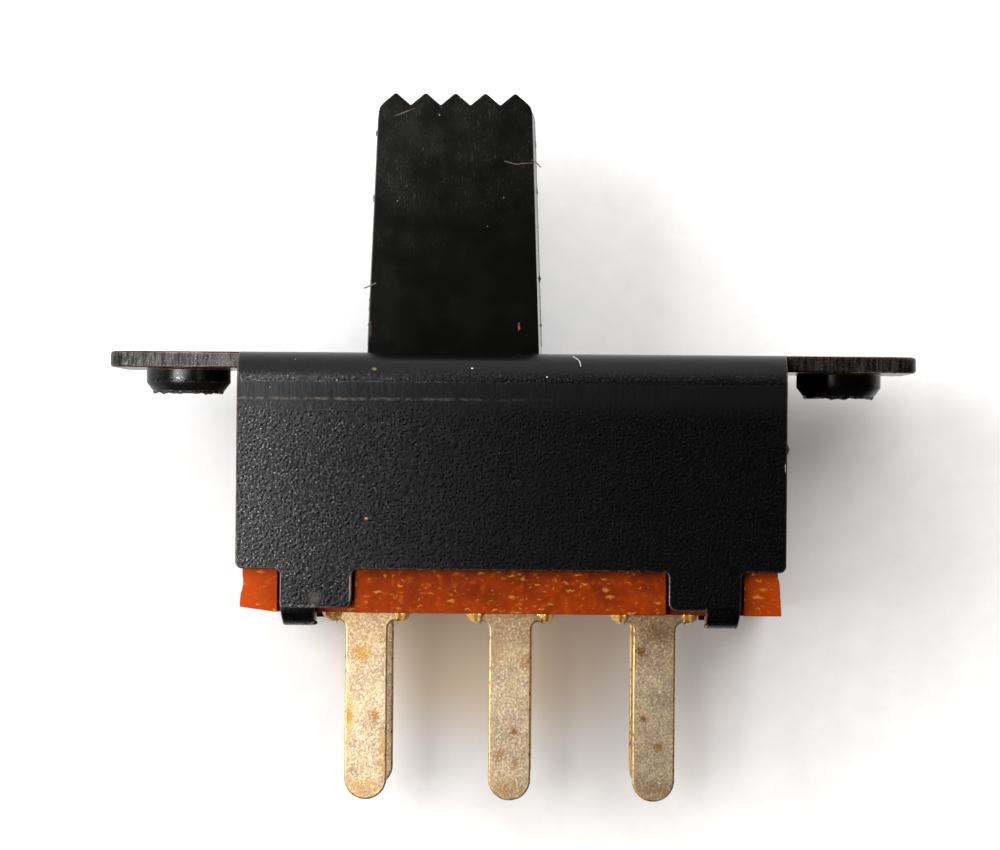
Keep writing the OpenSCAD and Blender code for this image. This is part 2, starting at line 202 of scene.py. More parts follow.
@dataclass(frozen=True)
class Finish:
    """A surface finish. Each kind paints its own nodes, and its relief is as deep as relief_mm says."""

    name: str
    roughness: float = 0.5
    metallic: float = 0.0
    specular: float = 0.5
    relief: float = 1.0
    relief_mm: float = 0.01

    def material(self) -> Material:
        """Makes the finish's material on first use.

        Returns:
            The material.
        """
        known = bpy.data.materials.get(self.name)
        if known:
            return known
        made = bpy.data.materials.new(self.name)
        made.use_nodes = True
        tree = made.node_tree
        where = add_node(tree, "ShaderNodeTexCoord")
        place = add_node(tree, "ShaderNodeVectorMath", {
            0: where.outputs["Object"], "Scale": MM_IN_METRE,
        }, operation="SCALE")
        painted = self.paint(tree, place)
        bump = add_node(tree, "ShaderNodeBump", {
            "Height": painted.height, "Strength": self.relief, "Distance": mm(self.relief_mm),
        })
        shader = tree.nodes["Principled BSDF"]
        plug(tree, shader, {
            "Roughness": self.roughness, "Metallic": self.metallic, "Specular IOR Level": self.specular,
        })
        plug(tree, shader, {"Base Color": painted.colour, "Normal": bump} | painted.inputs)
        return made

    def paint(self, tree: NodeTree, place: Node) -> Painted:
        """Paints colour and relief.

        Args:
            tree: The material's node tree.
            place: Node that gives object coordinates in millimetres.

        Returns:
            What the shader is linked to.
        """
        raise NotImplementedError

    def laid(
        self,
        tree: NodeTree,
        below: Source | Colour,
        pattern: Source,
        layer: Layer,
        mask: Source | None = None,
    ) -> Node:
        """Lays a colour over another.

        Args:
            tree: The material's node tree.
            below: The colour that is laid over.
            pattern: What the new colour fades in with.
            layer: The new colour.
            mask: A second pattern, from 0 to 1, that thins it.

        Returns:
            Node that gives the two colours together.
        """
        share = add_node(tree, "ShaderNodeMapRange", {
            "Value": pattern, "From Min": layer.start, "From Max": layer.end, "To Max": layer.strength,
        })
        if mask is not None:
            share = add_node(tree, "ShaderNodeMath", {0: share, 1: mask}, operation="MULTIPLY")
        return add_node(tree, "ShaderNodeMix", {
            "Factor": share, "A": below, "B": linear(layer.colour),
        }, data_type="RGBA")

    def overlaid(
        self, tree: NodeTree, place: Node, colour: Node, grain: Node, overlays: tuple[Overlay, ...]
    ) -> Node:
        """Lays patches over a colour: wear and dirt, and on the enamel also painted highlights.

        Args:
            tree: The material's node tree.
            place: Node that gives coordinates in millimetres.
            colour: Node that gives the colour below the patches.
            grain: Noise that frays their rims.
            overlays: The patches.

        Returns:
            Node that gives the colour with the patches.
        """
        for scuff in overlays:
            away = add_node(tree, "ShaderNodeVectorMath", {0: place, 1: scuff.middle}, operation="SUBTRACT")
            scaled = add_node(tree, "ShaderNodeVectorMath", {0: away, 1: scuff.half}, operation="DIVIDE")
            far = add_node(tree, "ShaderNodeVectorMath", {0: scaled}, operation="LENGTH")
            torn = add_node(tree, "ShaderNodeMath", {
                0: grain, 1: scuff.fray, 2: far.outputs["Value"],
            }, operation="MULTIPLY_ADD")
            patch = Layer(scuff.colour, scuff.rim_out, scuff.rim_in, scuff.strength)
            colour = self.laid(tree, colour, torn, patch)
        return colour


@dataclass(frozen=True)
class CoatedSteel(Finish):
    """Baked black enamel on sheet steel: a fine peel, with a highlight painted on the upper left of each
    bump.

    Below each bend the folding die wiped the enamel smooth, in a band of upright streaks between two
    lines where it rubbed through to greyish steel. The lines are painted fading out towards the right,
    as painted light from the left. A line has its height, half width and strength.
    """

    relief_mm: float = 0.006
    dark: str = "#030303"
    pale: Layer = Layer("#060606", 0.35, 0.75)
    wiped: Layer = Layer("#101010", 0.0, 1.0)
    rubbed: str = "#8f857b"
    peel_mm: float = 0.13
    # Offset towards the upper left, for the painted highlight on each bump of the peel
    highlight_side: Triple = (-0.03, 0.0, 0.03)
    highlight_slope: Pair = (-0.15, 0.3)
    highlight_shine: Pair = (0.0, 0.7)
    glint_mm: float = 0.06
    glint_span: Pair = (0.62, 0.78)
    glint_shine: Pair = (0.0, 3.0)
    smooth_shine: float = 0.38
    smooth_share: float = 0.9
    smooth_mm: Pair = (-1.25, -0.75)
    streak_mm: float = 0.07
    streak_squeeze: Triple = (1.0, 1.0, 0.03)
    streak_span: Pair = (0.35, 0.7)
    streak_shine: Pair = (0.14, 0.34)
    band_top_mm: float = -1.34
    band_low_mm: float = -1.95
    band_fade_mm: float = 0.9
    soft_mm: float = 0.08
    wear_mm: float = 0.3
    wear_span: Pair = (0.44, 0.7)
    # Span in X over which the rubbed lines fade out to the right, as painted light
    lines_lit_fade_mm: Pair = (2.0, -6.0)
    lines: tuple[Triple, ...] = ((-1.28, 0.04, 0.25), (-2.02, 0.09, 0.5))
    overlays: tuple[Overlay, ...] = (
        Overlay((-8.34, -5.6, -10.5), (0.38, 0.7, 0.36), "#4f4941", 0.55),
        Overlay((-5.89, -5.2, -0.74), (0.13, 0.7, 0.07), "#9c8468", 0.85),
        Overlay((-6.17, -5.7, -7.11), (0.09, 0.7, 0.05), "#c08c48", 0.8),
        # Painted highlight: a pale upright line where the tab's cut edge catches the light
        Overlay((-6.84, -5.6, -10.1), (0.05, 0.7, 0.7), "#8d8171", 0.7),
        # Painted glint: a near-white spot on the right end of the wall, where it catches the light
        Overlay((11.72, -5.6, -4.84), (0.08, 0.7, 0.22), "#e6dfd4", 0.95),
    )

    def paint(self, tree: NodeTree, place: Node) -> Painted:
        """Paints peel, glints, wiped band, rubbed lines, and patches of wear, specks and painted
        highlights.

        Args:
            tree: The material's node tree.
            place: Node that gives object coordinates in millimetres.

        Returns:
            What the shader is linked to.
        """
        axes = add_node(tree, "ShaderNodeSeparateXYZ", {0: place})
        height = axes.outputs["Z"]
        above, below = (
            add_node(tree, "ShaderNodeMapRange", {
                "Value": height, "From Min": start, "From Max": end,
            }, interpolation_type="SMOOTHSTEP") for start, end in (
                (self.band_low_mm - self.band_fade_mm, self.band_low_mm),
                (self.band_top_mm + self.soft_mm, self.band_top_mm),
            )
        )
        band = add_node(tree, "ShaderNodeMath", {0: above, 1: below}, operation="MULTIPLY")
        peel, shine = self.polish(tree, place, height, band)
        colour = self.laid(tree, linear(self.dark), peel, self.pale)
        colour = self.laid(tree, colour, band, self.wiped)
        worn = add_node(tree, "ShaderNodeTexNoise", {
            "Vector": place, "Scale": 1 / self.wear_mm, "Detail": 5.0, "Roughness": 0.8,
        })
        # The rubbed lines are real wear, painted fading out towards the right: painted light from the left
        lit_leftward, broken = (
            add_node(tree, "ShaderNodeMapRange", {
                "Value": pattern, "From Min": span[0], "From Max": span[1],
            }) for pattern, span in ((axes.outputs["X"], self.lines_lit_fade_mm), (worn, self.wear_span))
        )
        bare = add_node(tree, "ShaderNodeMath", {0: lit_leftward, 1: broken}, operation="MULTIPLY")
        for middle, half, strength in self.lines:
            off = add_node(tree, "ShaderNodeMath", {0: height, 1: middle}, operation="SUBTRACT")
            away = add_node(tree, "ShaderNodeMath", {0: off}, operation="ABSOLUTE")
            colour = self.laid(tree, colour, away, Layer(self.rubbed, half, 0.0, strength), bare)
        colour = self.overlaid(tree, place, colour, worn, self.overlays)
        return Painted(colour, peel, {"Specular IOR Level": shine})

    def polish(self, tree: NodeTree, place: Node, height: NodeSocket, band: Node) -> tuple[Node, Node]:
        """Makes the peel, and the shine that goes with it, with a painted highlight on the upper-left side
        of each bump.

        Args:
            tree: The material's node tree.
            place: Node that gives object coordinates in millimetres.
            height: Their Z.
            band: How far the die wiped the enamel there.

        Returns:
            Nodes that give the peel and the shine.
        """
        # Painted highlight: the shine rises on the side of each bump that faces the upper left, as if lit
        # from there
        toward_highlight = add_node(tree, "ShaderNodeVectorMath", {0: place, 1: self.highlight_side}, operation="ADD")
        peel, beside = (
            add_node(tree, "ShaderNodeTexNoise", {
                "Vector": spot, "Scale": 1 / self.peel_mm, "Detail": 3.0, "Roughness": 0.6,
            }) for spot in (place, toward_highlight)
        )
        lit_slope = add_node(tree, "ShaderNodeMath", {0: peel, 1: beside}, operation="SUBTRACT")
        fleck = add_node(tree, "ShaderNodeTexNoise", {
            "Vector": place, "Scale": 1 / self.glint_mm, "Detail": 1.0,
        })
        upright = add_node(tree, "ShaderNodeVectorMath", {
            0: place, 1: self.streak_squeeze,
        }, operation="MULTIPLY")
        streak = add_node(tree, "ShaderNodeTexNoise", {
            "Vector": upright, "Scale": 1 / self.streak_mm, "Detail": 4.0, "Roughness": 0.7,
        })
        lit_tops, glint, drawn = (
            add_node(tree, "ShaderNodeMapRange", {
                "Value": pattern, "From Min": span[0], "From Max": span[1],
                "To Min": shine[0], "To Max": shine[1],
            }) for pattern, span, shine in (
                (lit_slope, self.highlight_slope, self.highlight_shine),
                (fleck, self.glint_span, self.glint_shine),
                (streak, self.streak_span, self.streak_shine),
            )
        )
        rough = add_node(tree, "ShaderNodeMath", {0: lit_tops, 1: glint}, operation="ADD")
        bent = add_node(tree, "ShaderNodeMapRange", {
            "Value": height, "From Min": self.smooth_mm[0], "From Max": self.smooth_mm[1],
            "To Max": self.smooth_share,
        })
        grainy = add_node(tree, "ShaderNodeMix", {
            "Factor": bent, "A": rough, "B": self.smooth_shine,
        }, data_type="FLOAT")
        shine = add_node(tree, "ShaderNodeMix", {
            "Factor": band, "A": grainy, "B": drawn,
        }, data_type="FLOAT")
        return peel, shine


@dataclass(frozen=True)
class ShearedSteel(Finish):
    """Sheared edge of enamelled sheet: upright tear marks where thin enamel lets steel shine in sparks."""

    relief: float = 0.5
    relief_mm: float = 0.012
    enamel: str = "#0c0c0a"
    steel: str = "#4b4a45"
    rust: str = "#39342b"
    spark: str = "#c9c1b7"
    tear_mm: float = 0.12
    tear_squeeze: Triple = (1.0, 1.0, 0.15)
    tear_span: Pair = (0.4, 0.66)
    rust_mm: float = 0.7
    rust_fade: Triple = (0.56, 0.72, 0.4)
    spark_mm: float = 0.05
    spark_fade: Triple = (0.63, 0.73, 0.85)

    def paint(self, tree: NodeTree, place: Node) -> Painted:
        """Paints tear marks, rusty patches and sparks.

        Args:
            tree: The material's node tree.
            place: Node that gives object coordinates in millimetres.

        Returns:
            What the shader is linked to.
        """
        upright = add_node(tree, "ShaderNodeVectorMath", {
            0: place, 1: self.tear_squeeze,
        }, operation="MULTIPLY")
        tear = add_node(tree, "ShaderNodeTexNoise", {
            "Vector": upright, "Scale": 1 / self.tear_mm, "Detail": 4.0, "Roughness": 0.65,
        })
        colour = self.laid(tree, linear(self.enamel), tear, Layer(self.steel, *self.tear_span))
        for size, layer in (
            (self.rust_mm, Layer(self.rust, *self.rust_fade)),
            (self.spark_mm, Layer(self.spark, *self.spark_fade)),
        ):
            patch = add_node(tree, "ShaderNodeTexNoise", {
                "Vector": place, "Scale": 1 / size, "Detail": 2.0,
            })
            colour = self.laid(tree, colour, patch, layer)
        return Painted(colour, tear)


@dataclass(frozen=True)
class MouldedPlastic(Finish):
    """Injection-moulded black thermoplastic: a glossy skin that fingers have dulled towards the top.

    A pale haze is painted over it towards the top and the left, as painted sheen from the upper left.
    Short hair scratches lie in three directions where the haze lies, each with its turn in degrees, its
    squeeze along the hair and its strength. A deep scratch shows pale brown.
    """

    relief: float = 0.25
    relief_mm: float = 0.008
    skin: str = "#090908"
    haze_and_sheen: Layer = Layer("#171715", 0.0, 1.0)
    scratch: str = "#66625a"
    cloud_mm: float = 1.2
    cloud_span: Pair = (0.38, 0.64)
    cloud_roughness: float = 0.05
    fine_mm: float = 0.12
    hair_mm: float = 0.07
    hair_span: Pair = (0.66, 0.82)
    hairs: tuple[Triple, ...] = ((55.0, 0.25, 0.6), (-38.0, 0.3, 0.6), (10.0, 0.5, 0.5))
    worn_and_lit_mm: Pair = (4.5, 9.5)
    worn_and_lit_least: float = 0.08
    worn_roughness: float = 0.09
    painted_sheen_side_mm: Pair = (0.5, -5.5)
    painted_sheen_side_least: float = 0.35
    deep_middle: Triple = (-4.85, -2.05, 10.52)
    deep_turn_deg: float = 21.3
    deep: Overlay = Overlay((0.0, 0.0, 0.0), (0.5, 0.5, 0.035), "#6f6250", 0.9)
    overlays: tuple[Overlay, ...] = (
        Overlay((0.25, -2.2, 1.21), (0.06, 0.5, 0.17), "#9c6644", 0.9),
        Overlay((-6.22, -2.0, 1.1), (0.05, 0.6, 0.5), "#6e5646", 0.5),
    )

    def paint(self, tree: NodeTree, place: Node) -> Painted:
        """Paints haze with painted sheen, scratches and specks.

        Args:
            tree: The material's node tree.
            place: Node that gives object coordinates in millimetres.

        Returns:
            What the shader is linked to.
        """
        axes = add_node(tree, "ShaderNodeSeparateXYZ", {0: place})
        cloud = add_node(tree, "ShaderNodeTexNoise", {
            "Vector": place, "Scale": 1 / self.cloud_mm, "Detail": 5.0, "Roughness": 0.6,
        })
        # The haze is painted stronger towards the top and the left: painted sheen, as if lit from the upper
        # left
        handled_and_lit, lit_leftward, patchy = (
            add_node(tree, "ShaderNodeMapRange", {
                "Value": pattern, "From Min": span[0], "From Max": span[1], "To Min": least,
            }) for pattern, span, least in (
                (axes.outputs["Z"], self.worn_and_lit_mm, self.worn_and_lit_least),
                (axes.outputs["X"], self.painted_sheen_side_mm, self.painted_sheen_side_least),
                (cloud, self.cloud_span, 0.0),
            )
        )
        used_and_lit = add_node(tree, "ShaderNodeMath", {0: lit_leftward, 1: handled_and_lit}, operation="MULTIPLY")
        hazy_and_lit = add_node(tree, "ShaderNodeMath", {0: patchy, 1: used_and_lit}, operation="MULTIPLY")
        colour = self.laid(tree, linear(self.skin), hazy_and_lit, self.haze_and_sheen)
        for turn, squeeze, strength in self.hairs:
            turned = add_node(tree, "ShaderNodeMapping", {
                "Vector": place, "Rotation": (0.0, math.radians(turn), 0.0), "Scale": (1.0, 1.0, squeeze),
            })
            hair = add_node(tree, "ShaderNodeTexNoise", {
                "Vector": turned, "Scale": 1 / self.hair_mm, "Detail": 1.0,
            })
            colour = self.laid(tree, colour, hair, Layer(self.scratch, *self.hair_span, strength), hazy_and_lit)
        fine = add_node(tree, "ShaderNodeTexNoise", {
            "Vector": place, "Scale": 1 / self.fine_mm, "Detail": 2.0,
        })
        along = add_node(tree, "ShaderNodeMapping", {
            "Vector": place, "Location": self.deep_middle,
            "Rotation": (0.0, -math.radians(self.deep_turn_deg), 0.0),
        }, vector_type="TEXTURE")
        colour = self.overlaid(tree, along, colour, fine, (self.deep,))
        colour = self.overlaid(tree, place, colour, fine, self.overlays)
        gloss = self.roughness
        for share, more in ((handled_and_lit, self.worn_roughness), (patchy, self.cloud_roughness)):
            gloss = add_node(tree, "ShaderNodeMath", {
                0: share, 1: more, 2: gloss,
            }, operation="MULTIPLY_ADD")
        return Painted(colour, fine, {"Roughness": gloss})


@dataclass(frozen=True)
class Shards:
    """A set of filler shards: their size, their turn, the share that is left out and their strength."""

    size_mm: float
    turn_deg: float
    left_out: float
    strength: float


@dataclass(frozen=True)
class Phenolic(Finish):
    """Filled phenolic board, sheared: amber resin with gold shards of filler.

    It is painted darker towards the top, as shade under the frame's edge, and painted lighter at its
    ends, as light coming in through the cut.
    """

    relief: float = 0.4
    relief_mm: float = 0.05
    deep: str = "#561a04"
    resin: Layer = Layer("#8a2f05", 0.0, 1.0)
    # Painted light at the sheared ends
    lit: Layer = Layer("#a63c08", 9.6, 11.6, 0.9)
    mottle: Layer = Layer("#a2460a", 0.52, 0.72, 0.55)
    shard: str = "#b56a24"
    bright: str = "#de9c44"
    frame_shade_mm: Pair = (-9.3, -11.15)
    cloud_mm: float = 1.1
    cloud_span: Pair = (0.35, 0.65)
    resin_share: float = 0.55
    mottle_mm: float = 0.32
    ragged_mm: float = 0.18
    ragged_throw: Triple = (0.3, 0.3, 0.3)
    shard_squeeze: Triple = (0.8, 1.0, 2.4)
    shard_reach: Pair = (0.18, 0.42)
    shard_core: float = 0.06
    shard_rise: float = 0.5
    shards: tuple[Shards, ...] = (
        Shards(0.5, 62.0, 0.72, 0.75), Shards(0.5, -38.0, 0.76, 0.7), Shards(0.24, 15.0, 0.72, 0.5),
    )

    def paint(self, tree: NodeTree, place: Node) -> Painted:
        """Paints cloudy resin, painted shade at the top, painted light at the ends, and three sets of
        shards.

        Args:
            tree: The material's node tree.
            place: Node that gives object coordinates in millimetres.

        Returns:
            What the shader is linked to.
        """
        axes = add_node(tree, "ShaderNodeSeparateXYZ", {0: place})
        cloud, fibre, torn = (
            add_node(tree, "ShaderNodeTexNoise", {"Vector": place, "Scale": 1 / size, "Detail": detail})
            for size, detail in ((self.cloud_mm, 4.0), (self.mottle_mm, 4.0), (self.ragged_mm, 2.0))
        )
        # Painted shade: the resin darkens towards the top, under the frame's edge
        depth, murk = (
            add_node(tree, "ShaderNodeMapRange", {
                "Value": pattern, "From Min": span[0], "From Max": span[1], "To Max": self.resin_share,
            }) for pattern, span in ((axes.outputs["Z"], self.frame_shade_mm), (cloud, self.cloud_span))
        )
        level = add_node(tree, "ShaderNodeMath", {0: depth, 1: murk}, operation="ADD")
        # Painted light: both ends are laid lighter, as if lit through the cut
        end_glow_reach = add_node(tree, "ShaderNodeMath", {0: axes.outputs["X"]}, operation="ABSOLUTE")
        colour = linear(self.deep)
        for pattern, layer in ((level, self.resin), (end_glow_reach, self.lit), (fibre, self.mottle)):
            colour = self.laid(tree, colour, pattern, layer)
        ragged = add_node(tree, "ShaderNodeVectorMath", {
            0: torn.outputs["Color"], 1: self.ragged_throw, 2: place,
        }, operation="MULTIPLY_ADD")
        relief = cloud
        for shards in self.shards:
            crumb, tint = self.scattered(tree, ragged, shards)
            colour = add_node(tree, "ShaderNodeMix", {
                "Factor": crumb, "A": colour, "B": tint,
            }, data_type="RGBA")
            relief = add_node(tree, "ShaderNodeMath", {
                0: crumb, 1: self.shard_rise, 2: relief,
            }, operation="MULTIPLY_ADD")
        return Painted(colour, relief)

    def scattered(self, tree: NodeTree, ragged: Node, shards: Shards) -> tuple[Node, Node]:
        """Scatters a set of shards.

        Args:
            tree: The material's node tree.
            ragged: Node that gives coordinates in millimetres, thrown about to tear the outlines.
            shards: The set.

        Returns:
            Nodes that give how much of a shard shows, and its colour.
        """
        turned = add_node(tree, "ShaderNodeMapping", {
            "Vector": ragged, "Rotation": (0.0, math.radians(shards.turn_deg), 0.0),
            "Scale": self.shard_squeeze,
        })
        cell = add_node(tree, "ShaderNodeTexVoronoi", {"Vector": turned, "Scale": 1 / shards.size_mm})
        draw = add_node(tree, "ShaderNodeSeparateColor", {0: cell.outputs["Color"]})
        reach = add_node(tree, "ShaderNodeMapRange", {
            "Value": draw.outputs[2], "To Min": self.shard_reach[0], "To Max": self.shard_reach[1],
        })
        inside = add_node(tree, "ShaderNodeMapRange", {
            "Value": cell.outputs["Distance"], "From Min": reach, "From Max": self.shard_core,
            "To Max": shards.strength,
        })
        kept = add_node(tree, "ShaderNodeMath", {
            0: draw.outputs[0], 1: shards.left_out,
        }, operation="GREATER_THAN")
        crumb = add_node(tree, "ShaderNodeMath", {0: inside, 1: kept}, operation="MULTIPLY")
        tint = add_node(tree, "ShaderNodeMix", {
            "Factor": draw.outputs[1], "A": linear(self.shard), "B": linear(self.bright),
        }, data_type="RGBA")
        return crumb, tint


@dataclass(frozen=True)
class TarnishedTin(Finish):
    """Old tin plating on brass strip: frosty beige grains that sparkle, mottled, with brown stains.

    Towards the base it is painted darker and warmer, as shade under the board tinted by its orange.
    """

    relief: float = 0.8
    relief_mm: float = 0.02
    grey: str = "#bba388"
    beige: Layer = Layer("#d8be97", 0.38, 0.62)
    shade_near_base: Layer = Layer("#c0955a", -14.0, -11.2, 0.6)
    spot: Layer = Layer("#a8702e", 0.34, 0.1, 0.8)
    nick: Layer = Layer("#7a5c3e", 0.66, 0.78, 0.65)
    pit: Layer = Layer("#7a5c3e", 0.5, 0.28, 0.66)
    spark: Layer = Layer("#fff1da", 0.53, 0.7, 0.75)
    grain_mm: float = 0.1
    mottle_mm: float = 0.8
    ragged_throw: Triple = (0.5, 0.5, 0.5)
    spot_mm: float = 1.1
    spots_left_out: float = 0.75
    nick_mm: float = 0.09
    nick_squeeze: Triple = (1.0, 1.0, 0.25)
    nick_turns_deg: tuple[float, ...] = (50.0, -35.0, 85.0)
    overlays: tuple[Overlay, ...] = (
        Overlay((-6.43, -3.8, -12.95), (0.5, 1.0, 0.5), "#b8862e", 0.75),
        Overlay((-7.0, -3.8, -15.6), (0.35, 1.0, 1.5), "#c99a40", 0.6),
        Overlay((-5.4, -3.8, -17.0), (0.25, 1.0, 1.4), "#b98a3c", 0.6),
        Overlay((-6.3, -3.8, -18.8), (1.0, 1.0, 0.55), "#c69a4c", 0.55),
        Overlay((-0.6, -3.8, -12.6), (0.45, 1.0, 1.0), "#b48a6c", 0.6),
        Overlay((0.2, -3.8, -16.3), (0.24, 1.0, 0.24), "#8e5a1c", 0.9),
        Overlay((0.25, -3.8, -17.6), (0.2, 1.0, 0.3), "#a9783a", 0.7),
        Overlay((-0.1, -3.8, -18.8), (0.9, 1.0, 0.5), "#b4884c", 0.6),
        Overlay((5.64, -3.8, -12.8), (0.3, 1.0, 0.32), "#8a5418", 0.9),
        Overlay((6.4, -3.8, -12.0), (0.8, 1.0, 0.6), "#7c5c40", 0.6),
        Overlay((5.77, -3.8, -15.7), (0.2, 1.0, 0.2), "#7e4f1c", 0.9),
        Overlay((6.43, -3.8, -16.9), (0.24, 1.0, 0.26), "#9c6a2c", 0.85),
        Overlay((6.2, -3.8, -18.8), (0.9, 1.0, 0.5), "#a58258", 0.6),
    )

    def paint(self, tree: NodeTree, place: Node) -> Painted:
        """Paints mottle, painted shade near the base, stains, nicks, pits and sparkling grains.

        Args:
            tree: The material's node tree.
            place: Node that gives object coordinates in millimetres.

        Returns:
            What the shader is linked to.
        """
        mottle = add_node(tree, "ShaderNodeTexNoise", {
            "Vector": place, "Scale": 1 / self.mottle_mm, "Detail": 5.0, "Roughness": 0.65,
        })
        axes = add_node(tree, "ShaderNodeSeparateXYZ", {0: place})
        colour = self.laid(tree, linear(self.grey), mottle, self.beige)
        # Painted shade: darker and warmer towards the base, under the board
        colour = self.laid(tree, colour, axes.outputs["Z"], self.shade_near_base)
        ragged = add_node(tree, "ShaderNodeVectorMath", {
            0: mottle.outputs["Color"], 1: self.ragged_throw, 2: place,
        }, operation="MULTIPLY_ADD")
        cell = add_node(tree, "ShaderNodeTexVoronoi", {"Vector": ragged, "Scale": 1 / self.spot_mm})
        draw = add_node(tree, "ShaderNodeSeparateColor", {0: cell.outputs["Color"]})
        kept = add_node(tree, "ShaderNodeMath", {
            0: draw.outputs[0], 1: self.spots_left_out,
        }, operation="GREATER_THAN")
        colour = self.laid(tree, colour, cell.outputs["Distance"], self.spot, kept)
        for turn in self.nick_turns_deg:
            turned = add_node(tree, "ShaderNodeMapping", {
                "Vector": place, "Rotation": (0.0, math.radians(turn), 0.0), "Scale": self.nick_squeeze,
            })
            scored = add_node(tree, "ShaderNodeTexNoise", {
                "Vector": turned, "Scale": 1 / self.nick_mm, "Detail": 1.0,
            })
            colour = self.laid(tree, colour, scored, self.nick)
        grain = add_node(tree, "ShaderNodeTexNoise", {
            "Vector": place, "Scale": 1 / self.grain_mm, "Detail": 3.0, "Roughness": 0.7,
        })
        for layer in (self.pit, self.spark):
            colour = self.laid(tree, colour, grain, layer)
        colour = self.overlaid(tree, place, colour, grain, self.overlays)
        return Painted(colour, grain)


@dataclass(frozen=True)
class Grained(Finish):
    """A plain material with a fine grain that breaks up its shine, stained in places.

    The grain is drawn coarser than the real one, which is too fine to show.
    """

    relief: float = 0.3
    light: str = "#e8b94e"
    stain: str = "#8a5a1e"
    stain_span: Pair = (0.5, 0.7)
    grain_mm: float = 0.15
    stain_mm: float = 0.6

    def paint(self, tree: NodeTree, place: Node) -> Painted:
        """Paints stains and grain.

        Args:
            tree: The material's node tree.
            place: Node that gives object coordinates in millimetres.

        Returns:
            What the shader is linked to.
        """
        grain, patch = (
            add_node(tree, "ShaderNodeTexNoise", {"Vector": place, "Scale": 1 / size, "Detail": 3.0})
            for size in (self.grain_mm, self.stain_mm)
        )
        stain = Layer(self.stain, *self.stain_span)
        return Painted(self.laid(tree, linear(self.light), patch, stain), grain)


# Enamel baked on folded sheet: deep black with fine glints
ENAMEL = CoatedSteel("black_enamel_on_steel", roughness=0.25)
# Shear-cut edge under thin enamel: dark, with streaks of bare steel
SHEARED = ShearedSteel("sheared_steel_edge", roughness=0.32, metallic=0.6)
# Edges and burrs where the enamel is rubbed thin: steel with a brown tinge
RUBBED = ShearedSteel(
    "rubbed_enamel_edge", roughness=0.32, metallic=0.5, enamel="#1c1110", steel="#5f473e", rust="#5f382d"
)
# Moulded thermoplastic: black and glossy, duller where fingers push it, with painted sheen to the top and
# left
PLASTIC = MouldedPlastic("moulded_black_plastic", roughness=0.13, specular=0.2)
# Sheared phenolic board: amber with gold flecks
BOARD = Phenolic("filled_phenolic_board", roughness=0.5, specular=0.04)
# Tin plating on rolled brass, tarnished: frosty beige
TIN = TarnishedTin("tarnished_tin_on_brass", roughness=0.38, metallic=0.8)
# Punched rim of the same strip: brass that the plating left bare, brown in places
TIN_EDGE = Grained(
    "bared_brass_edge", roughness=0.32, metallic=0.7, light="#cda765", stain="#5c3a18", stain_mm=0.22
)
# Brass shaved up by the staking tool: bright gold
BRASS = Grained(
    "shaved_brass", roughness=0.12, metallic=0.3, specular=0.9, light="#ffc86a", stain="#b87014",
    stain_mm=0.2,
)
# Rolled bronze strip: reddish gold
BRONZE = Grained("contact_bronze_strip", roughness=0.3, metallic=1.0, light="#c98f4e", stain="#8a5a2c")
# Drawn steel wire: grey with a soft shine
WIRE = Grained("drawn_spring_wire", roughness=0.3, metallic=1.0, light="#b4b4b0", stain="#77756f")
# Dust and lint: pale and matt
LINT = Grained("pale_lint", roughness=0.9, light="#d8d4cc", stain="#a89c8a", stain_mm=0.2)
# Hair and splinters: matt brown
HAIR = Grained("brown_hair", roughness=0.6, light="#75695a", stain="#473d31", stain_mm=0.2)
# Flash squeezed out between the halves of the mould: dull black
FLASH = Grained(
    "plastic_flash", roughness=0.4, specular=0.3, light="#0c0c0b", stain="#1a1815", stain_mm=0.3
)


@dataclass(frozen=True)
class Zone:
    """A box in millimetres whose edges are broken by a share of the full width."""

    low: Triple
    high: Triple
    share: float

    def holds(self, line: bmesh.types.BMEdge) -> bool:
        """Returns whether an edge lies in the box."""
        return all(mm(a) <= c <= mm(b) for v in line.verts for a, c, b in zip(self.low, v.co, self.high))


@dataclass(frozen=True)
class EdgeBreak:
    """How far the sharp edges of a piece are broken, and how sharp an edge has to be for that.

    Edges in a zone take its share of the width, and all others the common share. Faces are parted where
    Y has one of the values in parted_at, so that those with holes fall into plain outlines.
    """

    width: float
    share: float = 1.0
    zones: tuple[Zone, ...] = ()
    parted_at: tuple[float, ...] = ()
    sharper_than_deg: float = 38.0
    rounds: int = 3

    def share_at(self, line: bmesh.types.BMEdge) -> float:
        """Finds how far an edge is broken.

        Args:
            line: An edge of the piece.

        Returns:
            Its share of the width, or 0 where it isn't sharp enough.
        """
        if line.calc_face_angle(0) <= math.radians(self.sharper_than_deg):
            return 0.0
        return next((zone.share for zone in self.zones if zone.holds(line)), self.share)


def show(mesh: Mesh, name: str) -> Object:
    """Puts a mesh into the scene.

    Args:
        mesh: The mesh, already in its place.
        name: Name of the piece.

    Returns:
        The new object, at the origin.
    """
    mesh.name = name
    piece = bpy.data.objects.new(name, mesh)
    bpy.context.scene.collection.objects.link(piece)
    return piece


def settle(piece: Object) -> None:
    """Turns what a piece's modifiers make into its plain mesh, and removes them.

    Args:
        piece: The piece.
    """
    ready = piece.evaluated_get(bpy.context.evaluated_depsgraph_get())
    plain = bpy.data.meshes.new_from_object(ready)
    plain.name = piece.name
    piece.modifiers.clear()
    piece.data = plain


def path_mesh(*runs: list[Vector]) -> Mesh:
    """Makes a mesh of bare paths.

    Args:
        *runs: Points of each path. A single point stays a loose vertex.

    Returns:
        The mesh, with an edge between neighbouring points.
    """
    points: list[Vector] = []
    edges: list[tuple[int, int]] = []
    for run in runs:
        first = len(points)
        points.extend(run)
        edges.extend((i, i + 1) for i in range(first, len(points) - 1))
    mesh = bpy.data.meshes.new("path")
    mesh.from_pydata(points, edges, [])
    return mesh


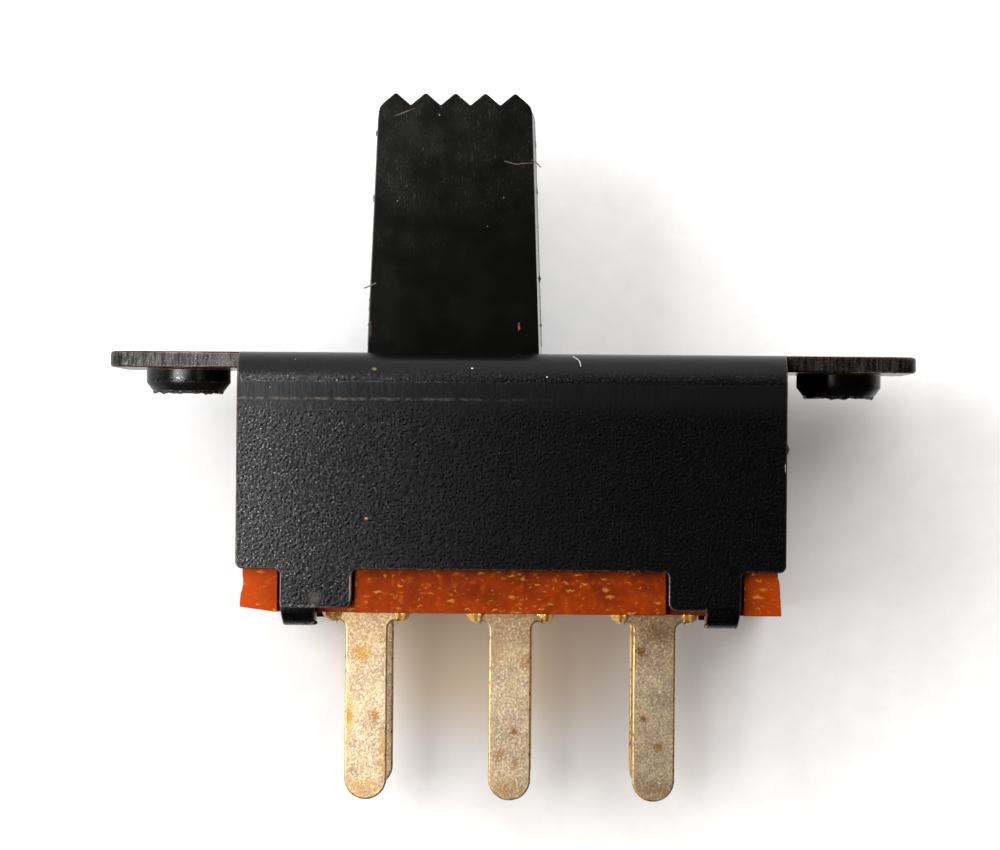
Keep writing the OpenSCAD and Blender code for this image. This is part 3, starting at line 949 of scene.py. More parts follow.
class Rig:
    """A Geometry Nodes tree that is built in the script and run once on a mesh."""

    def __init__(self, name: str) -> None:
        """Starts an empty tree.

        Args:
            name: Name of the tree.
        """
        self.tree = bpy.data.node_groups.new(name, "GeometryNodeTree")
        self.tree.interface.new_socket("Geometry", in_out="INPUT", socket_type="NodeSocketGeometry")
        self.tree.interface.new_socket("Geometry", in_out="OUTPUT", socket_type="NodeSocketGeometry")
        self.entry = self.tree.nodes.new("NodeGroupInput")
        self.sizes: dict[str, object] = {}

    def size(self, name: str, value: float | int | Vector) -> NodeSocket:
        """Adds a named input.

        Args:
            name: Name of the input.
            value: What the modifier sets it to: a whole number, a length or a vector.

        Returns:
            The socket that gives it inside the tree.
        """
        kinds = {int: "NodeSocketInt", float: "NodeSocketFloat", Vector: "NodeSocketVector"}
        socket = self.tree.interface.new_socket(name, in_out="INPUT", socket_type=kinds[type(value)])
        self.sizes[socket.identifier] = value
        return self.entry.outputs[name]

    def add(self, kind: str, links: dict | None = None, **settings: object) -> Node:
        """Adds a node to the tree; see add_node."""
        return add_node(self.tree, kind, links, **settings)

    def shake(self, shape: Node, grain: NodeSocket, amount: NodeSocket) -> Node:
        """Roughens geometry with a noise of its own places.

        Args:
            shape: Node that gives the geometry.
            grain: Size of the unevenness.
            amount: How far each axis is thrown, as a vector.

        Returns:
            Node that gives the roughened geometry.
        """
        whole = self.add("GeometryNodeRealizeInstances", {0: shape})
        pace = self.add("ShaderNodeMath", {0: 1.0, 1: grain}, operation="DIVIDE")
        uneven = self.add("ShaderNodeTexNoise", {
            "Vector": self.add("GeometryNodeInputPosition"), "Scale": pace, "Detail": 3.0,
        })
        centred = self.add("ShaderNodeVectorMath", {
            0: uneven.outputs["Color"], 1: NOISE_MEAN,
        }, operation="SUBTRACT")
        throw = self.add("ShaderNodeVectorMath", {0: centred, 1: amount}, operation="MULTIPLY")
        return self.add("GeometryNodeSetPosition", {0: whole, "Offset": throw})

    def run(self, shape: Node, finish: Finish, start: Mesh, name: str) -> Object:
        """Ends the tree, runs it on a mesh and keeps the result as a plain mesh.

        Args:
            shape: Node that gives the finished geometry.
            finish: Its finish.
            start: Mesh that the tree starts from.
            name: Name of the piece.

        Returns:
            The piece, without modifiers.
        """
        smooth = self.add("GeometryNodeSetShadeSmooth", {0: shape})
        whole = self.add("GeometryNodeRealizeInstances", {0: smooth})
        dressed = self.add("GeometryNodeSetMaterial", {0: whole, "Material": finish.material()})
        plug(self.tree, self.tree.nodes.new("NodeGroupOutput"), {0: dressed})
        piece = show(start, name)
        modifier = piece.modifiers.new(self.tree.name, "NODES")
        modifier.node_group = self.tree
        for identifier, value in self.sizes.items():
            modifier[identifier] = value
        settle(piece)
        return piece


class SubAssembly:
    """Base of the switch's sub-assemblies: copies solids and fastens finished pieces to a body."""

    body: Body
    seen_from: float = mm(-50)
    dust_side: Triple = (0.0, -1.0, 0.6)
    dust_facing: float = 0.45
    dust_rarity: float = 3.0
    dust_stretch: tuple[Triple, Triple] = ((0.6, 0.6, 0.3), (1.5, 1.5, 0.5))
    dust_size: Pair = (mm(0.012), mm(0.05))
    fibre_points: int = 24

    def dressed_copy(self, node: str, finishes: list[Finish], edge: EdgeBreak) -> Object:
        """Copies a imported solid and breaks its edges.

        Args:
            node: Name of the solid.
            finishes: Finish of the faces, and last that of the broken edges.
            edge: How its edges are broken.

        Returns:
            The copy, with a plain mesh.
        """
        solid = bmesh.new()
        solid.from_mesh(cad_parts[node].data)
        bmesh.ops.remove_doubles(solid, verts=solid.verts, dist=MERGED_WITHIN)
        for y in edge.parted_at:
            everything = solid.verts[:] + solid.edges[:] + solid.faces[:]
            parted = bmesh.ops.bisect_plane(solid, geom=everything, plane_co=(0, y, 0), plane_no=(0, 1, 0))
            for line in parted["geom_cut"]:
                if isinstance(line, bmesh.types.BMEdge):
                    line.seam = True
        bmesh.ops.dissolve_limit(
            solid, angle_limit=math.radians(FLAT_WITHIN_DEG), verts=solid.verts, edges=solid.edges,
            delimit={"SEAM"},
        )
        weight = solid.edges.layers.float.new("bevel_weight_edge")
        for line in solid.edges:
            line[weight] = edge.share_at(line)
        mesh = bpy.data.meshes.new(node)
        solid.to_mesh(mesh)
        solid.free()
        for layer in ("custom_normal", "sharp_edge", "sharp_face"):
            if layer in mesh.attributes:
                mesh.attributes.remove(mesh.attributes[layer])
        mesh.materials.clear()
        for finish in finishes:
            mesh.materials.append(finish.material())
        mesh.polygons.foreach_set("material_index", [0] * len(mesh.polygons))
        mesh.shade_smooth()
        piece = show(mesh, node + "_dressed")
        bevel = piece.modifiers.new("broken_edges", "BEVEL")
        bevel.width = edge.width
        bevel.segments = edge.rounds
        bevel.limit_method = "WEIGHT"
        bevel.use_clamp_overlap = False
        bevel.material = len(finishes) - 1
        evened = piece.modifiers.new("face_normals", "WEIGHTED_NORMAL")
        evened.weight = FACE_WEIGHT
        settle(piece)
        return piece

    def fasten(self, piece: Object, slot: Slot, *nodes: str) -> None:
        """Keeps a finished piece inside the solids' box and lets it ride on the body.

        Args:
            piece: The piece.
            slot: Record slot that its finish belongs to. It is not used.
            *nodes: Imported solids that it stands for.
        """
        low, high = CAD_BOX
        for v in piece.data.vertices:
            v.co = [min(max(c, least), most) for least, c, most in zip(low, v.co, high)]
        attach(piece, self.body.value)
        if nodes:
            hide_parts(*nodes)
        LOG.info("%s rides on %s", piece.name, self.body.value)

    def hit(self, carrier: Object, start: Vector, way: Vector) -> Vector:
        """Finds where a straight line meets a piece.

        Args:
            carrier: The piece.
            start: A point outside it.
            way: Direction of the line.

        Returns:
            The first point met.
        """
        mesh = carrier.data
        tree = BVHTree.FromPolygons([v.co for v in mesh.vertices], [p.vertices[:] for p in mesh.polygons])
        return tree.ray_cast(start, way)[0]

    def front_path(self, carrier: Object, *spots: Pair) -> list[Vector]:
        """Lays a path on the side of a piece that the camera sees.

        Args:
            carrier: The piece.
            *spots: The path's points in x and z, in millimetres.

        Returns:
            The points on the piece.
        """
        away = Vector((0, 1, 0))
        return [self.hit(carrier, Vector((mm(x), self.seen_from, mm(z))), away) for x, z in spots]

    def dust(self, carrier: Object, per_square_mm: float, seed: int) -> Object:
        """Scatters specks of dust over the upper and front faces of a piece.

        Args:
            carrier: The piece that the dust lies on.
            per_square_mm: Specks on a square millimetre.
            seed: Fixes where they fall.

        Returns:
            The specks as one piece.
        """
        rig = Rig(carrier.name + "_dust_tree")
        facing = rig.add("ShaderNodeVectorMath", {
            0: rig.add("GeometryNodeInputNormal"), 1: self.dust_side,
        }, operation="DOT_PRODUCT")
        seen = rig.add("FunctionNodeCompare", {
            0: facing.outputs["Value"], 1: rig.size("Least facing", self.dust_facing),
        }, operation="GREATER_THAN")
        spread = rig.add("GeometryNodeDistributePointsOnFaces", {
            "Mesh": rig.entry.outputs[0], "Selection": seen,
            "Density": rig.size("Specks on a square metre", per_square_mm * MM_IN_METRE ** 2),
            "Seed": rig.size("Seed", seed),
        })
        speck = rig.add("GeometryNodeMeshIcoSphere", {"Radius": 1.0, "Subdivisions": 2})
        chance = rig.add("FunctionNodeRandomValue", {"Seed": seed})
        rare = rig.add("ShaderNodeMath", {0: chance.outputs[1], 1: self.dust_rarity}, operation="POWER")
        grown = rig.add("ShaderNodeMapRange", {
            "Value": rare, "To Min": rig.size("Least speck", self.dust_size[0]),
            "To Max": rig.size("Largest speck", self.dust_size[1]),
        })
        stretch = rig.add("FunctionNodeRandomValue", {
            0: self.dust_stretch[0], 1: self.dust_stretch[1], "Seed": seed + 1,
        }, data_type="FLOAT_VECTOR")
        extent = rig.add("ShaderNodeVectorMath", {0: stretch, "Scale": grown}, operation="SCALE")
        scattered = rig.add("GeometryNodeInstanceOnPoints", {
            "Points": spread, "Instance": speck, "Rotation": spread.outputs["Rotation"], "Scale": extent,
        })
        return rig.run(scattered, LINT, carrier.data.copy(), carrier.name.replace("_dressed", "_dust"))

    def fibres(self, name: str, thick: float, finish: Finish, *runs: list[Vector]) -> Object:
        """Lays loose fibres along paths.

        Args:
            name: Name of the piece.
            thick: Thickness of a fibre.
            finish: What the fibres are made of.
            *runs: Points of each fibre.

        Returns:
            The fibres as one piece.
        """
        rig = Rig(name + "_tree")
        bare = rig.add("GeometryNodeMeshToCurve", {0: rig.entry.outputs[0]})
        curved = rig.add("GeometryNodeCurveSplineType", {0: bare}, spline_type="CATMULL_ROM")
        fine = rig.add("GeometryNodeResampleCurve", {0: curved, "Count": self.fibre_points})
        section = rig.add("GeometryNodeCurvePrimitiveCircle", {
            "Resolution": TUBE_SIDES, "Radius": rig.size("Half thickness", thick / 2),
        })
        tube = rig.add("GeometryNodeCurveToMesh", {
            "Curve": fine, "Profile Curve": section, "Fill Caps": True,
        })
        return rig.run(tube, finish, path_mesh(*runs), name)


@dataclass(frozen=True)
class Burr:
    """A lump of steel left by a tool, with its middle and half sizes in millimetres."""

    middle: Triple
    half: Triple


@dataclass
class Housing(SubAssembly):
    """Folded frame, its torn rims and burrs, and the phenolic base."""

    body: Body = Body.HOUSING
    frame_edge: EdgeBreak = EdgeBreak(mm(0.14), share=0.45, zones=(
        Zone((-18, -9, -1), (-16.6, 9, 1), 1.0), Zone((16.6, -9, -1), (18, 9, 1), 1.0),
    ), parted_at=(0.0,))
    base_edge: EdgeBreak = EdgeBreak(mm(0.04))
    hole_half_pitch: float = mm(14.3)
    ear_reach: float = mm(0.75)
    boss_reach: float = mm(2)
    upright_below: float = 0.5
    endwise_above: float = 0.95
    lift_from: float = mm(-10.0)
    lift: float = mm(0.2)
    fray_size: float = mm(0.6)
    fray_depth: float = mm(0.2)
    fray_cuts: int = 12
    rim_low: float = mm(-1.68)
    rim_radius: float = mm(1.46)
    rim_thick: float = mm(0.09)
    rim_points: int = 180
    tear_size: float = mm(0.3)
    rim_tear: Vector = field(default_factory=lambda: Vector((mm(0.18), mm(0.18), mm(0.32))))
    burr_grain: float = mm(0.12)
    burr_throw: Vector = field(default_factory=lambda: Vector((mm(0.12), mm(0.12), mm(0.12))))
    dust_per_mm2: float = 0.06
    dust_seed: int = 5
    lint_thick: float = mm(0.035)
    lint: tuple[Pair, ...] = ((2.59, -0.12), (2.85, -0.3), (2.93, -0.56))
    burr_list: tuple[Burr, ...] = (
        Burr((-8.4, -5.2, -11.6), (0.16, 0.3, 0.09)),
        Burr((8.42, -5.2, -11.6), (0.14, 0.3, 0.09)),
        Burr((-13.3, -0.9, -1.72), (0.14, 0.2, 0.1)),
        Burr((11.76, -5.4, -4.05), (0.1, 0.3, 0.2)),
        Burr((-9.9, -5.3, -8.95), (0.05, 0.2, 0.12)),
    )

    def build(self) -> None:
        """Builds and dresses the frame and the base."""
        shell = self.dressed_copy("frame", [ENAMEL, SHEARED, RUBBED], self.frame_edge)
        self.mark_sheared(shell)
        self.fasten(shell, Slot.STEEL, "frame")
        board = self.dressed_copy("base", [BOARD], self.base_edge)
        self.chip_ends(board)
        self.fasten(board, Slot.PHENOLIC, "base")
        self.fasten(self.torn_rims(), Slot.STEEL)
        self.fasten(self.burrs(), Slot.STEEL)
        self.fasten(self.dust(shell, self.dust_per_mm2, self.dust_seed), Slot.STEEL)
        lint = self.front_path(shell, *self.lint)
        self.fasten(self.fibres("frame_lint", self.lint_thick, LINT, lint), Slot.STEEL)

    def mark_sheared(self, shell: Object) -> None:
        """Gives the cut edges of the sheet their own finish, round the ears and at the channel's ends.

        Args:
            shell: The dressed frame.
        """
        ear_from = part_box("base")[1].x
        for face in shell.data.polygons:
            if face.material_index:
                continue
            x, y, z = face.center
            around = math.hypot(abs(x) - self.hole_half_pitch, y)
            upright = abs(face.normal.z) < self.upright_below
            on_ear = abs(x) > ear_from and z > -self.ear_reach and upright and around > self.boss_reach
            if on_ear or abs(face.normal.x) > self.endwise_above:
                face.material_index = SECOND_FINISH

    def chip_ends(self, board: Object) -> None:
        """Frays the sheared ends of the base, and lifts the underside of its left end.

        Args:
            board: The dressed base.
        """
        solid = bmesh.new()
        solid.from_mesh(board.data)
        everything = solid.verts[:] + solid.edges[:] + solid.faces[:]
        bmesh.ops.bisect_plane(solid, geom=everything, plane_co=(self.lift_from, 0, 0), plane_no=(1, 0, 0))
        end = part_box("base")[1].x - self.fray_depth
        rims = [line for line in solid.edges if min(abs(v.co.x) for v in line.verts) > end]
        long = [line for line in rims if line.calc_length() > self.fray_depth]
        bmesh.ops.subdivide_edges(solid, edges=long, cuts=self.fray_cuts, use_grid_fill=True)
        middle = sum(corner.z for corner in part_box("base")) / 2
        for v in solid.verts:
            if v.co.x < self.lift_from - HAIRLINE and v.co.z < middle:
                v.co.z += self.lift
            if abs(v.co.x) > end:
                bite = max(0.0, noise.noise(v.co / self.fray_size)) * self.fray_depth
                v.co.x -= math.copysign(bite, v.co.x)
        solid.to_mesh(board.data)
        solid.free()
        if "custom_normal" in board.data.attributes:
            board.data.attributes.remove(board.data.attributes["custom_normal"])
        board.data.shade_flat()

    def torn_rims(self) -> Object:
        """Makes the ragged lips that the punch left under the two bosses.

        Returns:
            Both lips as one piece.
        """
        rig = Rig("torn_rim_tree")
        ring = rig.add("GeometryNodeCurvePrimitiveCircle", {
            "Resolution": self.rim_points, "Radius": rig.size("Rim radius", self.rim_radius),
        })
        lip = rig.add("GeometryNodeCurvePrimitiveCircle", {
            "Resolution": TUBE_SIDES, "Radius": rig.size("Lip thickness", self.rim_thick),
        })
        smooth = rig.add("GeometryNodeCurveToMesh", {"Curve": ring, "Profile Curve": lip})
        both = rig.add("GeometryNodeInstanceOnPoints", {"Points": rig.entry.outputs[0], "Instance": smooth})
        ragged = rig.shake(both, rig.size("Tear size", self.tear_size), rig.size("Tear", self.rim_tear))
        middles = [[Vector((side * self.hole_half_pitch, 0, self.rim_low))] for side in (-1, 1)]
        return rig.run(ragged, SHEARED, path_mesh(*middles), "torn_boss_rims")

    def burrs(self) -> Object:
        """Makes the burrs on the fingers, a boss and the ends of the wall.

        Returns:
            The burrs as one piece.
        """
        start = path_mesh(*([Vector([mm(c) for c in burr.middle])] for burr in self.burr_list))
        extent = start.attributes.new("extent", "FLOAT_VECTOR", "POINT")
        extent.data.foreach_set("vector", [mm(c) for burr in self.burr_list for c in burr.half])
        rig = Rig("burr_tree")
        lump = rig.add("GeometryNodeMeshIcoSphere", {"Radius": 1.0, "Subdivisions": 4})
        sized = rig.add("GeometryNodeInputNamedAttribute", {"Name": "extent"}, data_type="FLOAT_VECTOR")
        placed = rig.add("GeometryNodeInstanceOnPoints", {
            "Points": rig.entry.outputs[0], "Instance": lump, "Scale": sized,
        })
        grain = rig.size("Burr grain", self.burr_grain)
        rough = rig.shake(placed, grain, rig.size("Burr throw", self.burr_throw))
        return rig.run(rough, RUBBED, start, "steel_burrs")


@dataclass
class Slider(SubAssembly):
    """Handle and carriage in one moulding, with its flash and the dirt on it."""

    body: Body = Body.SLIDING
    edge: EdgeBreak = EdgeBreak(mm(0.3), share=0.17, zones=(
        Zone((-6.5, -3, 10.2), (-5.7, 3, 11), 1.0), Zone((0.5, -3, 10.2), (1.3, 3, 11), 1.0),
    ))
    dust_per_mm2: float = 0.06
    dust_seed: int = 11
    flash_half: float = mm(0.1)
    flash_low: float = mm(0.4)
    flash_high: float = mm(10.4)
    flash_points: int = 260
    flash_grain: float = mm(0.5)
    flash_span: Pair = (0.58, 0.74)
    flash_least: float = 0.1
    flash_flat: Triple = (1.0, 0.3, 1.0)
    hair_thick: float = mm(0.03)
    hair: tuple[Pair, ...] = ((-0.45, 8.43), (0.05, 8.3), (0.32, 8.33), (0.78, 8.36))
    splinter_thick: float = mm(0.06)
    splinters: tuple[tuple[Triple, ...], ...] = (
        ((-6.5, -2.12, 2.84), (-6.3, -2.14, 2.93), (-6.0, -2.17, 3.06)),
        ((0.72, -2.04, 8.48), (0.95, -1.95, 8.36), (1.13, -1.9, 8.18)),
    )

    def build(self) -> None:
        """Builds and dresses the moulding."""
        moulding = self.dressed_copy("slider", [PLASTIC], self.edge)
        self.fasten(moulding, Slot.PLASTIC, "slider")
        self.fasten(self.flash(moulding), Slot.PLASTIC)
        self.fasten(self.dust(moulding, self.dust_per_mm2, self.dust_seed), Slot.PLASTIC)
        hair = self.front_path(moulding, *self.hair)
        self.fasten(self.fibres("handle_hair", self.hair_thick, HAIR, hair), Slot.PLASTIC)
        loose = [[Vector([mm(c) for c in point]) for point in run] for run in self.splinters]
        self.fasten(self.fibres("handle_splinters", self.splinter_thick, HAIR, *loose), Slot.PLASTIC)

    def flash(self, moulding: Object) -> Object:
        """Makes the ragged flash along the parting line at both ends of the handle.

        Args:
            moulding: The dressed slider.

        Returns:
            The flash as one piece.
        """
        heights = (self.flash_low, self.flash_high)
        lines = [
            [self.hit(moulding, Vector((side, 0, z)), Vector((-side, 0, 0))) for z in heights]
            for side in (-1, 1)
        ]
        rig = Rig("parting_flash_tree")
        bare = rig.add("GeometryNodeMeshToCurve", {0: rig.entry.outputs[0]})
        fine = rig.add("GeometryNodeResampleCurve", {0: bare, "Count": self.flash_points})
        uneven = rig.add("ShaderNodeTexNoise", {
            "Vector": rig.add("GeometryNodeInputPosition"), "Detail": 4.0,
            "Scale": rig.size("Flash pace", 1 / self.flash_grain),
        })
        bits = rig.add("ShaderNodeMapRange", {
            "Value": uneven, "From Min": self.flash_span[0], "From Max": self.flash_span[1],
            "To Min": self.flash_least,
        })
        section = rig.add("GeometryNodeCurvePrimitiveCircle", {
            "Resolution": TUBE_SIDES, "Radius": rig.size("Flash width", self.flash_half),
        })
        ridge = rig.add("GeometryNodeCurveToMesh", {
            "Curve": fine, "Profile Curve": section, "Scale": bits, "Fill Caps": True,
        })
        thin = rig.add("ShaderNodeVectorMath", {
            0: rig.add("GeometryNodeInputPosition"), 1: self.flash_flat,
        }, operation="MULTIPLY")
        flat = rig.add("GeometryNodeSetPosition", {0: ridge, "Position": thin})
        return rig.run(flat, FLASH, path_mesh(*lines), "parting_flash")


@dataclass
class Terminals(SubAssembly):
    """Six terminals in two rows, with the shaved curls that stake them."""

    body: Body = Body.HOUSING
    edge: EdgeBreak = EdgeBreak(mm(0.08))
    rows: tuple[str, ...] = ("front", "rear")
    columns: tuple[str, ...] = ("left", "centre", "right")
    curl_offset: float = mm(1.46)
    curl_from: float = mm(1.2)
    curl_sink: float = mm(0.03)
    curl_growth: tuple[Triple, Triple] = ((0.96, 0.96, 0.92), (1.2, 1.1, 1.12))
    curl_seed: int = 3
    flutes: float = 7.0
    flute_depth: float = 0.1
    curl_size: Vector = field(default_factory=lambda: Vector((mm(0.42), mm(0.38), mm(0.36))))

    def build(self) -> None:
        """Builds and dresses the terminals and their curls."""
        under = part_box("base")[0].z
        middles: list[list[Vector]] = []
        for row in self.rows:
            for column in self.columns:
                node = f"terminal_{row}_{column}"
                blade = self.dressed_copy(node, [TIN, BRASS, TIN_EDGE], self.edge)
                low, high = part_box(node)
                x = (low.x + high.x) / 2
                beads = []
                for face in blade.data.polygons:
                    if face.center.z < under + HAIRLINE and abs(face.center.x - x) > self.curl_from:
                        face.material_index = SECOND_FINISH
                        beads.append(face.center.y)
                self.fasten(blade, Slot.TIN, node)
                y = (min(beads) + max(beads)) / 2
                z = under - self.curl_sink
                middles += [[Vector((x + side * self.curl_offset, y, z))] for side in (-1, 1)]
        self.fasten(self.curls(path_mesh(*middles)), Slot.TIN)

    def curls(self, middles: Mesh) -> Object:
        """Makes the fluted curls on both sides of each terminal.

        Args:
            middles: A vertex in the middle of each curl.

        Returns:
            All curls as one piece.
        """
        rig = Rig("staking_curl_tree")
        ball = rig.add("GeometryNodeMeshUVSphere", {"Segments": 48, "Rings": 20, "Radius": 1.0})
        place = rig.add("GeometryNodeInputPosition")
        axes = rig.add("ShaderNodeSeparateXYZ", {0: place})
        around = rig.add("ShaderNodeMath", {
            0: axes.outputs["Y"], 1: axes.outputs["X"],
        }, operation="ARCTAN2")
        turns = rig.add("ShaderNodeMath", {
            0: around, 1: rig.size("Flutes", self.flutes),
        }, operation="MULTIPLY")
        wave = rig.add("ShaderNodeMath", {0: turns}, operation="COSINE")
        swell = rig.add("ShaderNodeMath", {
            0: wave, 1: rig.size("Flute depth", self.flute_depth), 2: 1.0,
        }, operation="MULTIPLY_ADD")
        shape = rig.add("ShaderNodeVectorMath", {
            0: place, 1: rig.size("Curl size", self.curl_size),
        }, operation="MULTIPLY")
        fluted = rig.add("ShaderNodeVectorMath", {0: shape, "Scale": swell}, operation="SCALE")
        lobe = rig.add("GeometryNodeSetPosition", {0: ball, "Position": fluted})
        seed = rig.size("Seed", self.curl_seed)
        grown = rig.add("FunctionNodeRandomValue", {
            0: self.curl_growth[0], 1: self.curl_growth[1], "Seed": seed,
        }, data_type="FLOAT_VECTOR")
        spun = rig.add("FunctionNodeRandomValue", {2: 0.0, 3: math.tau, "Seed": seed})
        turn = rig.add("ShaderNodeCombineXYZ", {"Z": spun.outputs[1]})
        placed = rig.add("GeometryNodeInstanceOnPoints", {
            "Points": rig.entry.outputs[0], "Instance": lobe, "Rotation": turn, "Scale": grown,
        })
        return rig.run(placed, BRASS, middles, "staking_curls")


@dataclass
class Contacts(SubAssembly):
    """Bridging strips and their springs."""

    body: Body = Body.SLIDING
    edge: EdgeBreak = EdgeBreak(mm(0.04))
    rows: tuple[str, ...] = ("front", "rear")
    wire: float = mm(0.26)
    turns: float = 6.0

    def build(self) -> None:
        """Builds and dresses strips and springs."""
        for row in self.rows:
            strip = self.dressed_copy(f"contact_bridge_{row}", [BRONZE], self.edge)
            self.fasten(strip, Slot.BRONZE, f"contact_bridge_{row}")
        self.fasten(self.springs(), Slot.WIRE, *(f"contact_spring_{row}" for row in self.rows))

    def springs(self) -> Object:
        """Winds both coil springs.

        Returns:
            The springs as one piece.
        """
        boxes = [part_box(f"contact_spring_{row}") for row in self.rows]
        low, high = boxes[0]
        rig = Rig("contact_spring_tree")
        radius = rig.size("Coil radius", (high.x - low.x - self.wire) / 2)
        coil = rig.add("GeometryNodeCurveSpiral", {
            "Resolution": 32, "Rotations": rig.size("Turns", self.turns), "Start Radius": radius,
            "End Radius": radius, "Height": rig.size("Coil height", high.z - low.z - self.wire),
        })
        section = rig.add("GeometryNodeCurvePrimitiveCircle", {
            "Resolution": 12, "Radius": rig.size("Wire radius", self.wire / 2),
        })
        wound = rig.add("GeometryNodeCurveToMesh", {
            "Curve": coil, "Profile Curve": section, "Fill Caps": True,
        })
        both = rig.add("GeometryNodeInstanceOnPoints", {"Points": rig.entry.outputs[0], "Instance": wound})
        feet = [[Vector(((a.x + b.x) / 2, (a.y + b.y) / 2, a.z + self.wire / 2))] for a, b in boxes]
        return rig.run(both, WIRE, path_mesh(*feet), "contact_springs_wound")


@dataclass(frozen=True)
class Camera:
    """Where the photograph was taken from, with its lens in pixels of a 1000 pixel wide image."""

    place: Vector = field(default_factory=lambda: Vector((mm(1.63), mm(-180), mm(-4.15))))
    focal_px: float = 4089.0
    image_px: float = 1000.0
    yaw_deg: float = -0.7
    pitch_deg: float = 0.35
    roll_deg: float = 0.495
    sensor_mm: float = 36.0
    clip: Pair = (mm(5), mm(5000))

    def build(self) -> None:
        """Makes the camera and puts it into the scene."""
        yaw, pitch, roll = (math.radians(a) for a in (self.yaw_deg, self.pitch_deg, self.roll_deg))
        level = Vector((math.sin(yaw), math.cos(yaw), 0))
        right = Vector((math.cos(yaw), -math.sin(yaw), 0))
        ahead = level * math.cos(pitch) + Vector((0, 0, math.sin(pitch)))
        up = Vector((0, 0, math.cos(pitch))) - level * math.sin(pitch)
        side = right * math.cos(roll) + up * math.sin(roll)
        top = up * math.cos(roll) - right * math.sin(roll)
        data = bpy.data.cameras.new("camera")
        data.sensor_width = self.sensor_mm
        data.lens = self.focal_px / self.image_px * self.sensor_mm
        data.clip_start, data.clip_end = self.clip
        camera = bpy.data.objects.new("camera", data)
        turn = Matrix((side, top, -ahead)).transposed().to_4x4()
        camera.matrix_world = Matrix.Translation(self.place) @ turn
        bpy.context.scene.collection.objects.link(camera)
        bpy.context.scene.camera = camera


class Lit(Enum):
    """What a lamp lights, as the state of the paper among the things that it reaches."""

    PAPER = "INCLUDE"
    SWITCH = "EXCLUDE"


class LampShape(Enum):
    """Outlines of an area lamp."""

    ROUND = "ELLIPSE"
    STRIP = "RECTANGLE"


@dataclass(frozen=True)
class Lamp:
    """An area lamp that looks at the middle of the switch."""

    name: str
    place: Triple
    width: float
    height: float
    power: float
    lights: Lit
    shape: LampShape = LampShape.ROUND
    tint: str = "#ffffff"

    def build(self, paper: Object) -> None:
        """Hangs the lamp.

        Args:
            paper: The sheet that the lamp lights alone or leaves out.
        """
        data = bpy.data.lights.new(self.name, "AREA")
        data.shape = self.shape.value
        data.size = self.width
        data.size_y = self.height
        data.energy = self.power
        data.color = linear(self.tint)[:3]
        lamp = bpy.data.objects.new(self.name, data)
        lamp.location = self.place
        lamp.rotation_euler = (-lamp.location).to_track_quat("-Z", "Y").to_euler()
        bpy.context.scene.collection.objects.link(lamp)
        lit = bpy.data.collections.new(self.name + "_lights")
        lit.objects.link(paper)
        lit.collection_objects[0].light_linking.link_state = self.lights.value
        lamp.light_linking.receiver_collection = lit


